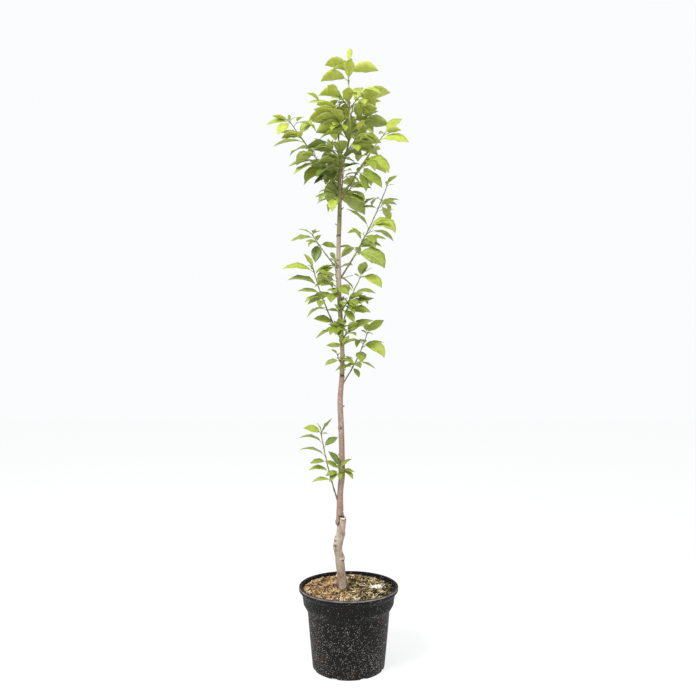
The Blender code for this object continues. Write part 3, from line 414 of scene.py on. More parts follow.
limbLooks = {    # young parts, old parts and speckles
    "bough_bark": ((0.155, 0.155, 0.055), (0.080, 0.068, 0.030), (0.32, 0.30, 0.16)),
    "green_bough_bark": ((0.270, 0.320, 0.085), (0.165, 0.180, 0.055), (0.42, 0.45, 0.20)),
    "green_stem_bark": ((0.235, 0.270, 0.075), (0.135, 0.135, 0.045), (0.38, 0.40, 0.18)),
    "leaf_stalk_green": ((0.42, 0.49, 0.13), (0.32, 0.38, 0.09), (0.52, 0.57, 0.22)),
    "bud_scales": ((0.52, 0.490, 0.150), (0.38, 0.260, 0.120), (0.62, 0.58, 0.26)),
    "flower_bud_green": ((0.62, 0.66, 0.36), (0.50, 0.56, 0.26), (0.75, 0.76, 0.52)),
    "pale_cut_wood": ((0.86, 0.78, 0.66), (0.74, 0.64, 0.52), (0.60, 0.50, 0.38)),
}
plastic = plasticFinish()
trunkBark = trunkFinish()
limbFinishes = {name: limbFinish(name, *colours) for name, colours in limbLooks.items()}
print("finishes made:", len(bpy.data.materials))


# modelling helpers
def clamp(value, low=0.0, high=1.0):
    return min(max(value, low), high)


def deselect():
    bpy.ops.object.select_all(action='DESELECT')


def pick(piece):
    deselect()
    piece.select_set(True)
    bpy.context.view_layer.objects.active = piece


def settle(piece):
    # the piece's place goes into its mesh
    pick(piece)
    bpy.ops.object.transform_apply(location=True, rotation=True, scale=True)


def editAll(piece):
    pick(piece)
    bpy.ops.object.mode_set(mode='EDIT')
    bpy.ops.mesh.select_all(action='SELECT')


def endEdit():
    # normals outward, and back to object mode
    bpy.ops.mesh.select_all(action='SELECT')
    bpy.ops.mesh.normals_make_consistent(inside=False)
    bpy.ops.object.mode_set(mode='OBJECT')


def paint(piece, *materials):
    slots = piece.data.materials
    for number, material in enumerate(materials):
        if number < len(slots):
            slots[number] = material
        else:
            slots.append(material)


def dress(piece, slot, materials, *replaced, degrees=None):
    # shading, materials, a place under the frame's root, and hiding the frame's parts that it replaces
    if degrees:
        pick(piece)
        bpy.ops.object.shade_smooth_by_angle(angle=math.radians(degrees))
    paint(piece, *materials)
    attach(piece, "root")
    if replaced:
        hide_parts(*replaced)


def turned(name, profile, sides):
    # a circle, drawn out ring by ring along a profile of radius and height, and closed at its two ends
    deselect()
    bpy.ops.mesh.primitive_circle_add(vertices=sides, radius=profile[0][0], fill_type='NGON',
                                      location=(0.0, 0.0, profile[0][1]))
    piece = bpy.context.object
    piece.name = name
    settle(piece)
    editAll(piece)
    bpy.ops.mesh.select_mode(type='EDGE')
    for (lastRadius, lastHeight), (radius, height) in zip(profile, profile[1:]):
        bpy.ops.mesh.extrude_edges_move(TRANSFORM_OT_translate={"value": (0.0, 0.0, height - lastHeight)})
        share = radius / lastRadius
        bpy.ops.transform.resize(value=(share, share, 1.0), center_override=(0.0, 0.0, height))
    bpy.ops.mesh.edge_face_add()
    endEdit()
    return piece


def tubes(name, limbs, bevel):
    # round limbs along lists of points, drawn as one curve and turned into one mesh; each has 4 sides and
    # 2 more for each bevel step, and closed ends
    curve = bpy.data.curves.new(name, 'CURVE')
    curve.dimensions = '3D'
    curve.bevel_depth = 1.0
    curve.bevel_resolution = bevel
    curve.use_fill_caps = True
    for points, radii in limbs:
        spline = curve.splines.new('POLY')
        spline.points.add(len(points) - 1)
        for knot, place, radius in zip(spline.points, points, radii):
            knot.co = (*place, 1.0)
            knot.radius = radius
    piece = bpy.data.objects.new(name, curve)
    bpy.context.scene.collection.objects.link(piece)
    pick(piece)
    bpy.ops.object.convert(target='MESH')
    editAll(piece)
    bpy.ops.mesh.remove_doubles(threshold=0.00001)
    endEdit()
    return piece


def roughen(piece, scale, depth):
    for vertex in piece.data.vertices:
        vertex.co += vertex.normal * noise.noise(vertex.co * scale) * depth


def copies(name, pattern, shapes, smooth=True):
    # many copies of one modelled pattern in one mesh, each with its own corner places
    source = pattern.data
    size = len(source.vertices)
    faces = [tuple(face.vertices) for face in source.polygons]
    slots = [face.material_index for face in source.polygons]
    corners = []
    joinedFaces = []
    for number, shape in enumerate(shapes):
        corners += shape
        joinedFaces += [tuple(corner + number * size for corner in face) for face in faces]
    mesh = bpy.data.meshes.new(name)
    mesh.from_pydata(corners, [], joinedFaces)
    mesh.polygons.foreach_set("material_index", slots * len(shapes))
    mesh.polygons.foreach_set("use_smooth", [smooth] * len(joinedFaces))
    if source.uv_layers:
        flat = [part for loop in source.uv_layers[0].data for part in loop.uv]
        mesh.uv_layers.new(name="bladeMap").data.foreach_set("uv", flat * len(shapes))
    piece = bpy.data.objects.new(name, mesh)
    bpy.context.scene.collection.objects.link(piece)
    return piece


# the rule that the solids grow by
clearance = 0.0003
groundHeight = 0.1795
stations = (    # height, offset to the right, diameter
    (0.1795, -0.0145, 0.0245), (0.213, -0.0183, 0.0212), (0.249, -0.0225, 0.0215), (0.272, -0.0258, 0.0198),
    (0.300, -0.0215, 0.0215), (0.322, -0.0182, 0.0205), (0.341, -0.0184, 0.0255), (0.351, -0.0206, 0.0188),
    (0.385, -0.0212, 0.0155), (0.414, -0.0200, 0.0145), (0.450, -0.0165, 0.0155), (0.497, -0.0165, 0.0140),
    (0.565, -0.0183, 0.0142), (0.634, -0.0208, 0.0134), (0.691, -0.0168, 0.0122), (0.753, -0.0156, 0.0110),
    (0.820, -0.0190, 0.0110), (0.900, -0.0238, 0.0118), (0.946, -0.0241, 0.0118), (1.006, -0.0255, 0.0108),
    (1.085, -0.0232, 0.0112), (1.140, -0.0220, 0.0095), (1.208, -0.0214, 0.0084), (1.240, -0.0116, 0.0060),
    (1.266, -0.0041, 0.0054), (1.318, 0.0036, 0.0048), (1.370, 0.0023, 0.0042), (1.436, 0.0000, 0.0034),
)
rowKeys = ("name", "height", "heading", "bare", "leafy", "rise", "width", "leaves", "leaf", "turn", "first",
           "pitch", "seed")
shootRows = (    # one for each mass, in the order in which they grow
    ("right_long", 0.932, 18, 0.07, 0.218, (56, 70), 0.0046, 2, 0.078, 150, 70, (0, 35), 83),
    ("right_upper", 1.128, -24, 0.085, 0.118, (60, 46), 0.0044, 2, 0.074, 150, 90, (0, 35), 93),
    ("left_upper", 1.158, 200, 0.078, 0.134, (52, 50), 0.0044, 2, 0.072, 150, 270, (0, 35), 29),
    ("left_middle", 0.958, 160, 0.058, 0.063, (48, 58), 0.0036, 1, 0.068, 150, 270, (-10, 30), 83),
    ("left_long", 0.781, 198, 0.07, 0.12, (60, 74), 0.0042, 1, 0.076, 150, 270, (-10, 35), 91),
    ("right_lower", 0.806, -30, 0.05, 0.092, (76, 58), 0.0036, 1, 0.068, 150, 120, (-10, 35), 84),
    ("right_lowest", 0.668, 28, 0.052, 0.103, (52, 70), 0.0036, 1, 0.072, 150, 60, (-10, 35), 134),
    ("sprout", 0.37, 200, 0.05, 0.14, (70, 80), 0.004, 1, 0.052, 150, 270, (0, 45), 66),
    ("leader_top", None, 0, 0.0, 0.058, (90, 88), 0.0034, 1, 0.082, 137.5, 90, (5, 35), 21),
    ("twin_leader", 1.2, 182, 0.108, 0.078, (86, 94), 0.005, 2, 0.08, 137.5, 270, (0, 35), 92),
    ("tier_right", 1.372, -15, 0.0, 0.036, (45, 60), 0.0026, 1, 0.088, 137.5, 90, (0, 40), 10),
    ("tier_left", 1.372, 195, 0.0, 0.03, (45, 60), 0.0026, 2, 0.08, 137.5, 270, (0, 40), 101),
    ("tier_back", 1.345, 80, 0.0, 0.07, (45, 60), 0.0028, 7, 0.08, 137.5, 135, (-10, 35), 136),
    ("shade_right", 1.305, 15, 0.0, 0.05, (45, 60), 0.0028, 2, 0.084, 137.5, 60, (-15, 35), 17),
    ("shade_left", 1.29, 225, 0.0, 0.055, (45, 60), 0.0028, 3, 0.082, 137.5, 270, (-15, 35), 27),
    ("leader_right", 1.258, -30, 0.0, 0.055, (45, 60), 0.0028, 2, 0.082, 137.5, 90, (-15, 35), 120),
    ("leader_left", 1.235, 160, 0.0, 0.06, (45, 60), 0.0028, 2, 0.08, 137.5, 270, (-15, 35), 92),
    ("fork_front", 1.205, 265, 0.0, 0.05, (45, 60), 0.0028, 2, 0.072, 137.5, 270, (-20, 30), 17),
    ("fork_left", 1.18, 165, 0.0, 0.06, (48, 55), 0.003, 3, 0.074, 137.5, 270, (-20, 30), 92),
    ("fork_right", 1.135, 25, 0.0, 0.055, (48, 55), 0.003, 1, 0.072, 137.5, 60, (-20, 30), 81),
    ("front_left", 1.118, 205, 0.0, 0.045, (60, 70), 0.0028, 1, 0.058, 137.5, 315, (-15, 30), 13),
    ("back_upper", 1.085, 85, 0.06, 0.13, (55, 60), 0.0038, 9, 0.072, 150, 135, (-10, 35), 100),
    ("back_middle", 0.87, 100, 0.045, 0.105, (52, 62), 0.0034, 8, 0.066, 150, 180, (-10, 35), 46),
    ("collar_upper", 0.955, 240, 0.0, 0.03, (45, 60), 0.0026, 1, 0.06, 137.5, 135, (-20, 30), 34),
    ("collar_middle", 0.85, 330, 0.0, 0.035, (45, 60), 0.0026, 2, 0.072, 137.5, 315, (-10, 35), 71),
    ("collar_left", 0.885, 200, 0.0, 0.03, (45, 60), 0.0026, 1, 0.068, 137.5, 315, (-15, 30), 136),
    ("collar_lower", 0.8, 170, 0.0, 0.03, (45, 60), 0.0026, 1, 0.066, 137.5, 0, (-15, 30), 135),
    ("collar_front", 0.775, 300, 0.0, 0.035, (45, 60), 0.0026, 2, 0.08, 137.5, 0, (-15, 35), 132),
    ("collar_foot", 0.72, 230, 0.0, 0.032, (45, 60), 0.0026, 1, 0.05, 137.5, 180, (-15, 35), 75),
    ("trunk_tuft", 0.445, 250, 0.0, 0.034, (35, 60), 0.0024, 1, 0.043, 137.5, 270, (0, 45), 92),
)
sideTwigs = {    # share of the stem, heading, length and leaves
    "right_long": ((0.3, -25, 0.035, 2),),
    "right_upper": ((0.35, 60, 0.045, 2),),
    "left_upper": ((0.2, 100, 0.04, 2),),
    "twin_leader": ((0.35, 188, 0.072, 3),),
}
setLeaves = {    # hundredths of the stem, heading, slope, length in mm, arch and roll
    "right_long": (
        (76, 0, 16, 50, 20, -30), (68, 180, 14, 44, 30, 35), (64, 355, 8, 44, 10, -10),
        (40, 348, 28, 86, 100, -55), (41, 178, 50, 80, 25, 25), (26, 350, 6, 60, 25, -35),
        (22, 150, 60, 52, 20, -40), (15, 345, 16, 62, 50, -25), (9, 185, 22, 50, 30, 30),
        (3, 345, 2, 96, 72, -60), (10, 330, -34, 52, 20, -50), (30, 300, -20, 55, 40, -20),
    ),
    "right_upper": (
        (100, 8, 44, 60, 12, -50), (90, 12, 26, 58, 12, -12), (82, 345, 0, 78, 30, -55),
        (10, 350, 28, 92, 100, -50), (30, 305, -25, 60, 45, -15), (22, 180, -5, 46, 20, 30),
        (3, 345, -28, 80, 24, -50), (6, 328, -64, 62, 15, -20),
    ),
    "left_upper": (
        (97, 182, -4, 60, 15, 45), (95, 220, -38, 56, 25, 45), (55, 188, 34, 64, 45, 50),
        (53, 180, 0, 82, 26, 20), (66, 20, 60, 58, 15, -45), (12, 188, -12, 78, 12, 22),
        (8, 196, -26, 76, 15, 22), (60, 250, 10, 50, 40, 0),
    ),
    "left_middle": (
        (80, 182, 2, 64, 28, 35), (97, 290, 6, 50, 25, 0), (42, 12, 8, 46, 35, -55),
        (50, 255, -58, 60, 20, 20),
    ),
    "left_long": (
        (93, 182, 18, 82, 34, 38), (61, 180, 28, 84, 42, 25), (96, 350, -8, 40, 25, -35),
        (47, 184, 12, 60, 20, 30), (38, 192, 0, 50, 50, 20), (17, 185, -14, 56, 40, 15),
        (30, 260, -10, 56, 40, 0),
    ),
    "right_lower": (
        (3, 350, 0, 62, 22, -45), (12, 12, 22, 72, 12, -30), (50, 355, 8, 58, 25, -30),
        (97, 285, 40, 56, 20, 0), (97, 345, -6, 66, 58, -50), (30, 290, -10, 55, 40, 0),
    ),
    "right_lowest": (
        (60, 335, 10, 78, 88, -60), (96, 14, 46, 62, 22, -45), (62, 8, 22, 60, 30, -12),
        (50, 272, -24, 62, 20, 0), (22, 345, -18, 54, 12, -5), (5, 185, 0, 46, 35, 25),
        (4, 320, -42, 34, 25, -20),
    ),
    "sprout": (
        (98, 20, 56, 48, 12, -5), (97, 190, 36, 50, 45, 60), (80, 180, 34, 67, 55, 3),
        (74, 15, 40, 45, 20, -40), (57, 180, 32, 71, 45, 0), (48, 182, 2, 43, 20, 30),
        (30, 180, 18, 54, 38, 20), (14, 182, 9, 51, 36, 18),
    ),
    "leader_top": (
        (12, 272, 42, 66, 40, 0), (45, 352, 20, 82, 48, 25), (60, 188, 40, 73, 82, -20),
        (14, 184, 18, 78, 58, -20), (50, 215, 8, 62, 55, 0),
    ),
    "twin_leader": (
        (50, 210, 30, 78, 35, -5), (40, 188, 16, 84, 25, -10), (12, 186, 22, 69, 20, 10),
        (90, 183, 6, 88, 25, 30),
    ),
    "tier_right": (
        (95, 80, 58, 56, 20, 0), (85, 345, 14, 68, 25, 35), (90, 8, 16, 92, 12, 20),
        (50, 295, -10, 71, 45, 0), (30, 330, -22, 62, 30, -15),
    ),
    "tier_left": (
        (90, 186, 30, 69, 60, -20), (70, 170, 52, 50, 15, 0), (30, 275, 38, 62, 40, 0),
    ),
    "shade_right": (
        (80, 350, 0, 80, 18, 35), (50, 320, -15, 66, 40, 0), (90, 290, 35, 60, 40, 0),
    ),
    "shade_left": (
        (90, 195, 12, 67, 35, -10), (60, 240, -8, 65, 45, 0), (70, 178, -5, 70, 25, -40),
    ),
    "leader_right": (
        (60, 350, 6, 74, 35, 35), (80, 320, -8, 66, 45, 0), (40, 290, -20, 62, 40, 0),
        (5, 285, -56, 70, 15, 0),
    ),
    "leader_left": (
        (50, 190, 14, 67, 40, -20), (90, 183, 7, 69, 35, -10), (30, 265, 30, 60, 40, 0),
    ),
    "fork_front": (
        (80, 285, 35, 66, 40, 0), (50, 190, 2, 67, 30, -20), (60, 325, 34, 66, 35, 0),
        (40, 235, 30, 60, 40, 20),
    ),
    "fork_left": (
        (62, 194, 6, 84, 84, 50), (40, 190, -15, 56, 25, 35), (55, 240, -25, 58, 35, 0),
    ),
    "fork_right": (
        (80, 350, 8, 58, 28, -40), (60, 348, -12, 54, 40, -30), (30, 358, -4, 62, 45, -40),
    ),
    "front_left": (
        (40, 186, 10, 54, 55, 15), (70, 184, 42, 50, 90, 10), (60, 255, -48, 54, 30, 0),
    ),
    "collar_upper": (
        (50, 205, -32, 68, 35, 40), (45, 178, -4, 60, 45, 10),
    ),
    "collar_middle": (
        (90, 350, -4, 48, 50, -35), (95, 20, 36, 50, 20, -35), (60, 300, -15, 56, 35, 0),
        (30, 335, -36, 55, 20, -30), (80, 260, 5, 50, 50, 0),
    ),
    "collar_left": (
        (42, 188, -6, 80, 32, 45), (5, 200, -40, 58, 20, 40), (60, 240, -20, 56, 40, 0),
        (95, 325, -10, 55, 30, -35), (30, 300, -36, 52, 20, 0), (80, 290, 0, 50, 45, 0),
    ),
    "collar_lower": (
        (45, 184, -18, 62, 22, 20), (95, 192, 22, 56, 30, 50), (60, 250, -12, 56, 40, 0),
        (30, 255, -46, 56, 20, 10), (50, 330, -20, 52, 30, -20), (85, 300, 10, 52, 45, 0),
    ),
    "collar_front": (
        (50, 350, 34, 86, 18, -40), (60, 305, 12, 52, 45, 0), (10, 330, -20, 58, 25, -35),
        (90, 200, 15, 50, 40, 20),
    ),
    "collar_foot": (
        (40, 182, -2, 40, 40, 45), (50, 330, 0, 45, 40, -20), (30, 300, -32, 45, 20, 0),
    ),
    "trunk_tuft": (
        (80, 5, 46, 42, 20, -20), (60, 355, 6, 38, 20, -20), (95, 165, 64, 50, 25, 30),
        (80, 185, 40, 42, 25, 35), (55, 190, -3, 37, 30, 35), (50, 200, -28, 35, 30, 30),
        (60, 275, -23, 30, 40, 0),
    ),
}
rule = {
    "step": 0.016, "zigzag": 0.0007, "stemTip": 0.0022,
    "twigWidths": (0.0019, 0.0017), "twigRise": (35.0, 60.0),
    "twigLeaf": 0.9, "twigTurn": 180.0, "twigFirst": 70.0,
    "stalkShare": 0.17, "stalkLift": 14.0, "rootSink": 0.0004,
    "size": (0.88, 1.10), "breadth": (0.88, 1.16), "arch": (28.0, 66.0),
    "fold": (10.0, 28.0), "roll": (-38.0, 38.0),
    "smallest": 0.78, "middleGain": 0.34, "middleShift": 0.15,
    "nodeStart": 0.6, "nodeSpread": 0.2, "headingSpread": 24.0, "pull": 0.8,
    "tipSize": 0.62, "tipBreadth": 0.80, "tipArch": 0.5, "tipDroop": 0.8, "tipLift": 12.0,
    "tries": (0, 8, -8, 18, -18, 32, -32, 50, -50),
    "reach": {"leader_top": 0.35},       # how far up a stem its leaves stand, where not to its tip
    "topBreadth": 0.72,                  # the topmost leaf is still narrow
    "twigNear": 0.55, "tipNear": 0.00006,     # how near the solid a twig's end and a leaf's tip have to be
}


def headingVector(heading):
    angle = math.radians(heading)
    return Vector((math.cos(angle), math.sin(angle), 0.0))


def trunkValues(height):
    last = len(stations) - 1
    index = 0
    while index < last - 1 and stations[index + 1][0] < height:
        index += 1
    before, start = stations[max(index - 1, 0)], stations[index]
    end, after = stations[index + 1], stations[min(index + 2, last)]
    share = clamp((height - start[0]) / (end[0] - start[0]))
    offsetIn = (end[1] - before[1]) / (end[0] - before[0])
    offsetOut = (after[1] - start[1]) / (after[0] - start[0])
    run = end[0] - start[0]
    square, cube = share * share, share * share * share
    offset = (2 * cube - 3 * square + 1) * start[1] + (3 * square - 2 * cube) * end[1]
    offset += ((cube - 2 * square + share) * offsetIn + (cube - square) * offsetOut) * run
    return offset, start[2] + (end[2] - start[2]) * share


def trunkPoint(height):
    above = height - groundHeight
    depth = 0.012 * math.exp(-above / 0.25) + 0.003 * math.sin(8.0 * above)
    return Vector((trunkValues(height)[0], depth, height))


def onTrunk(height, heading, sunk):
    return trunkPoint(height) + headingVector(heading) * (trunkValues(height)[1] / 2.0 - sunk)


def risingPath(start, heading, length, rise):
    count = max(2, round(length / rule["step"]))
    along = headingVector(heading)
    across = headingVector(heading + 90.0)
    points = [start.copy()]
    place = start.copy()
    for number in range(count):
        slope = math.radians(rise[0] + (rise[1] - rise[0]) * (number + 0.5) / count)
        place = place + (along * math.cos(slope) + Vector((0.0, 0.0, math.sin(slope)))) * (length / count)
        points.append(place + across * (rule["zigzag"] if number % 2 else -rule["zigzag"]))
    return points


def pathPlace(points, distance):
    for start, end in zip(points, points[1:]):
        run = (end - start).length
        if distance <= run or end is points[-1]:
            return start + (end - start) * (distance / run), (end - start).normalized()
        distance -= run


def pathPart(points, first, last):
    part = [pathPlace(points, first)[0]]
    travelled = 0.0
    for start, end in zip(points, points[1:]):
        travelled += (end - start).length
        if first + clearance * 4 < travelled < last - clearance * 4:
            part.append(end.copy())
    part.append(pathPlace(points, last)[0])
    return part


def pathLength(points):
    return sum((end - start).length for start, end in zip(points, points[1:]))


def alongPath(points, share, back=0.0):
    return pathPlace(points, pathLength(points) * share - back)


def leafLine(leaf, distance):
    # centre and upward direction of a leaf at a distance from its root
    stalk = leaf["length"] * rule["stalkShare"]
    out = headingVector(leaf["heading"])
    up = Vector((0.0, 0.0, 1.0))
    lift = math.radians(leaf["pitch"] + leaf["stalkLift"])
    alongStalk = out * math.cos(lift) + up * math.sin(lift)
    if distance <= stalk:
        return leaf["root"] + alongStalk * distance, out * -math.sin(lift) + up * math.cos(lift)
    pitch = math.radians(leaf["pitch"])
    arch = math.radians(leaf["arch"])
    blade = leaf["length"] - stalk
    slope = pitch - arch * (distance - stalk) / blade
    reach = blade / arch * (math.sin(pitch) - math.sin(slope))
    climb = blade / arch * (math.cos(slope) - math.cos(pitch))
    place = leaf["root"] + alongStalk * stalk + out * reach + up * climb
    return place, out * -math.sin(slope) + up * math.cos(slope)


def leafPlan(root, heading, pitch, length, chance, **known):
    plan = {"root": root, "heading": heading, "pitch": pitch, "length": length}
    plan["stalkLift"] = rule["stalkLift"]
    for key in ("breadth", "arch", "fold", "roll"):
        plan[key] = chance.uniform(*rule[key])
    return {**plan, **known}


def tipLeafPlan(points, length, chance):
    root, along = alongPath(points, 1.0, rule["rootSink"] * 2.0)
    slope = math.degrees(math.asin(clamp(along.z, -1.0)))
    heading = math.degrees(math.atan2(along.y, along.x))
    pitch = slope - (90.0 - slope) * rule["tipDroop"]
    leaf = leafPlan(root, heading, pitch, length * rule["tipSize"], chance)
    leaf["stalkLift"] = rule["tipLift"]
    leaf["breadth"] *= rule["tipBreadth"]
    leaf["arch"] *= rule["tipArch"]
    return leaf


def leavesOnStem(points, shoot, chance):
    total, count, length = pathLength(points), shoot["leaves"], shoot["leaf"]
    plans = []
    for number in range(count - 1):
        share = (number + rule["nodeStart"] + chance.uniform(-rule["nodeSpread"], rule["nodeSpread"])) / count
        share *= shoot["reach"]
        root, along = pathPlace(points, total * share)
        swing = shoot["first"] + number * shoot["turn"]
        swing += chance.uniform(-rule["headingSpread"], rule["headingSpread"])
        out = headingVector(shoot["heading"] + swing)
        out += Vector((along.x, along.y, 0.0)) * rule["pull"]
        heading = math.degrees(math.atan2(out.y, out.x))
        pitch = chance.uniform(*shoot["pitch"])
        middle = math.sin(math.pi * min(share + rule["middleShift"], 1.0))
        size = length * (rule["smallest"] + rule["middleGain"] * middle) * chance.uniform(*rule["size"])
        plans.append(leafPlan(root, heading, pitch, size, chance))
    plans.append(tipLeafPlan(points, length, chance))
    return plans


def growShoot(shoot):
    # the shoot's limb, its twigs and its leaves, each leaf at the turn that its solid has
    shoot["reach"] = rule["reach"].get(shoot["name"], 1.0)
    chance = random.Random(shoot["seed"])
    if shoot["height"] is None:
        start = trunkPoint(stations[-1][0]) + Vector((0.0, 0.0, clearance))
    else:
        start = trunkPoint(shoot["height"])
    bare = shoot["bare"]
    path = risingPath(start, shoot["heading"], bare + shoot["leafy"], shoot["rise"])
    total = pathLength(path)
    stem = pathPart(path, bare + clearance, total) if bare else path
    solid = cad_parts["foliage_" + shoot["name"]]
    tree = kdtree.KDTree(len(solid.data.vertices))
    for vertex in solid.data.vertices:
        tree.insert(solid.matrix_world @ vertex.co, vertex.index)
    tree.balance()
    twigs = []
    for share, heading, length, leaves in sideTwigs.get(shoot["name"], ()):
        twig = risingPath(alongPath(stem, share)[0], heading, length, rule["twigRise"])
        if tree.find(twig[-1])[2] < rule["twigWidths"][1] * rule["twigNear"]:
            twigs.append((twig, heading, leaves))
    wanted = []
    for share, heading, pitch, length, arch, roll in setLeaves.get(shoot["name"], ()):
        root, _ = alongPath(stem, share / 100.0)
        wanted.append(leafPlan(root, heading, pitch, length / 1000.0, chance, arch=arch, roll=roll))
    wanted += leavesOnStem(stem, shoot, chance)
    if shoot["name"] == "leader_top":
        wanted[-1]["breadth"] *= rule["topBreadth"]
    for twig, heading, leaves in twigs:
        twigShoot = dict(shoot, heading=heading, reach=1.0, leaves=leaves,
                         leaf=shoot["leaf"] * rule["twigLeaf"],
                         turn=rule["twigTurn"], first=rule["twigFirst"])
        wanted += leavesOnStem(twig, twigShoot, chance)
    grown = []
    for leaf in wanted:
        firstHeading = leaf["heading"]
        for turn in rule["tries"]:
            leaf["heading"] = firstHeading + turn
            if tree.find(leafLine(leaf, leaf["length"])[0])[2] < rule["tipNear"]:
                grown.append(dict(leaf, shoot=shoot["name"]))
                break
    return {"shoot": shoot, "path": path, "total": total, "stem": stem, "twigs": twigs, "leaves": grown,
            "planned": len(wanted)}


# finer growth, within the reach of each mass: short side twigs with smaller leaves
finer = {
    "twigs": 3,               # on each stem, apart from these
    "counts": {
        "right_long": 4, "twin_leader": 5, "back_upper": 6, "leader_right": 5, "fork_right": 5,
        "fork_front": 5, "shade_left": 5, "shade_right": 5, "leader_left": 5, "fork_left": 5, "front_left": 4,
        "left_upper": 4, "leader_top": 1, "sprout": 1, "left_middle": 1, "collar_upper": 0, "collar_left": 0,
        "collar_foot": 1, "trunk_tuft": 1, "right_lowest": 2, "right_lower": 2, "back_middle": 0,
        "right_upper": 2, "left_long": 2,
    },
    "along": (0.15, 0.75),
    "first": 70.0,
    "turn": 137.5,
    "turnSpread": 30.0,
    "length": (0.008, 0.020),
    "rise": (25.0, 55.0),
    "widths": (0.0015, 0.0012),
    "leafSize": (0.48, 0.82),
    "slopes": (-25.0, 45.0),
    "spread": 48.0,           # between a twig's leaves, and how far chance turns each
    "leafSpread": 20.0,
    "seed": 12,
}


def withinBox(low, high, place):
    return all(low[axis] <= place[axis] <= high[axis] for axis in range(3))


def growFiner(grown, chance):
    shoot = grown["shoot"]
    low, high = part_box("foliage_" + shoot["name"])
    count = finer["counts"].get(shoot["name"], finer["twigs"])
    grown["finerTwigs"] = []
    grown["finerLeaves"] = []
    for number in range(count):
        share = (number + chance.uniform(*finer["along"])) / count
        start, _ = alongPath(grown["stem"], share)
        heading = shoot["heading"] + finer["first"] + number * finer["turn"]
        heading += chance.uniform(-finer["turnSpread"], finer["turnSpread"])
        twig = risingPath(start, heading, chance.uniform(*finer["length"]), finer["rise"])
        kept = len(grown["finerLeaves"])
        for place, turn in ((twig[-1], 0.0), (twig[-1], finer["spread"]), (twig[-2], -finer["spread"])):
            size = shoot["leaf"] * chance.uniform(*finer["leafSize"])
            leafHeading = heading + turn + chance.uniform(-finer["leafSpread"], finer["leafSpread"])
            slope = chance.uniform(*finer["slopes"])
            leaf = leafPlan(place, leafHeading, slope, size, chance, shoot=shoot["name"])
            if all(withinBox(low, high, leafLine(leaf, size * part)[0]) for part in (0.6, 1.0)):
                grown["finerLeaves"].append(leaf)
        if len(grown["finerLeaves"]) > kept:
            grown["finerTwigs"].append(twig)


# tufts of small leaves that sit on the trunk itself
tufts = (    # height, heading, then heading, slope, length in mm, arch and roll of each leaf
    (0.905, 200, ((185, 12, 26, 30, -20), (215, 30, 18, 20, 0))),
    (0.917, 350, ((348, -6, 32, 50, 20), (330, -30, 18, 20, 0))),
    (0.880, 335, ((300, 40, 18, 20, 0), (20, 30, 20, 20, 10), (350, 5, 16, 20, 0))),
    (0.850, 255, ((200, 18, 34, 30, -25), (235, 48, 30, 20, 10), (275, 64, 34, 15, 0),
                  (325, 50, 28, 20, 0), (300, 15, 22, 40, 0))),
    (0.806, 265, ((212, 28, 40, 25, -20), (258, 60, 38, 15, 0), (300, 52, 36, 20, 10),
                  (335, 34, 28, 20, 0))),
    (0.764, 275, ((184, 8, 42, 12, -40), (207, 28, 26, 15, 0), (262, 64, 32, 10, 0),
                  (316, 54, 38, 20, 15), (345, 42, 26, 30, 0))),
    (0.733, 345, ((352, 30, 20, 30, 0), (328, -15, 24, 30, 0), (15, 10, 20, 30, 0))),
    (0.712, 320, ((344, 24, 32, 15, -45), (205, 20, 11, 20, 0), (250, 50, 10, 20, 0), (300, 45, 10, 20, 0))),
    (0.452, 282, ((258, 58, 24, 20, 0), (300, 50, 18, 20, 0), (335, 30, 18, 30, 0))),
)


def tuftLeaves(height, heading, rows, chance):
    root = onTrunk(height, heading, 0.0004)
    return [leafPlan(root, leafHeading, slope, length / 1000.0, chance, arch=arch, roll=roll, shoot="tuft")
            for leafHeading, slope, length, arch, roll in rows]


shoots = [growShoot(dict(zip(rowKeys, row))) for row in shootRows]
finerChance = random.Random(finer["seed"])
for shootGrown in shoots:
    growFiner(shootGrown, finerChance)
tuftsGrown = [leaf for row in tufts for leaf in tuftLeaves(*row, finerChance)]
leafCount = sum(len(grown["leaves"]) for grown in shoots)
print("leaves found on the solids:", leafCount, "of", sum(grown["planned"] for grown in shoots), "planned")


# the pot
potMake = {
    "sides": 144,
    "height": 0.187,
    "rim": 0.120,
    "flange": 0.007,
    "wall": 0.002,
    "foot": 0.0862,
    "floor": 0.003,
    "hub": (0.020, 0.0006),          # the flat middle of the underside, a little hollow
    "footEdge": ((-0.0080, 0.0006), (-0.0070, 0.0), (-0.0012, 0.0), (-0.0003, 0.0004), (0.0, 0.0012),
                 (0.0003, 0.0030)),          # out from the foot's radius, and height
    "taper": (0.099, 0.1298, 0.0004),        # the body's top radius, rise and bow
    "collar": ((0.0990, 0.1310), (0.1002, 0.1325), (0.1020, 0.1349), (0.1075, 0.1448), (0.1086, 0.1463),
               (0.1090, 0.1478), (0.1105, 0.1580), (0.1119, 0.1672), (0.1122, 0.1686), (0.1128, 0.1694)),
    "rimEdge": ((-0.0012, -0.0094), (-0.0004, -0.0086), (0.0, -0.0074), (0.0, -0.0016), (-0.0003, -0.0007),
                (-0.0009, -0.0001), (-0.0020, 0.0)),     # out from the rim's radius, and up from its top
    "innerEdge": ((0.0022, 0.0), (0.0009, -0.0002), (0.0002, -0.0008), (0.0, -0.0018)),
    "inside": ((0.1102, 0.168), (0.1072, 0.147), (0.0970, 0.131)),
    "notches": 8,
    "notchHeading": 293.0,
    "notchSize": (0.009, 0.014, 0.006),
    "notchRound": 0.0012,
}


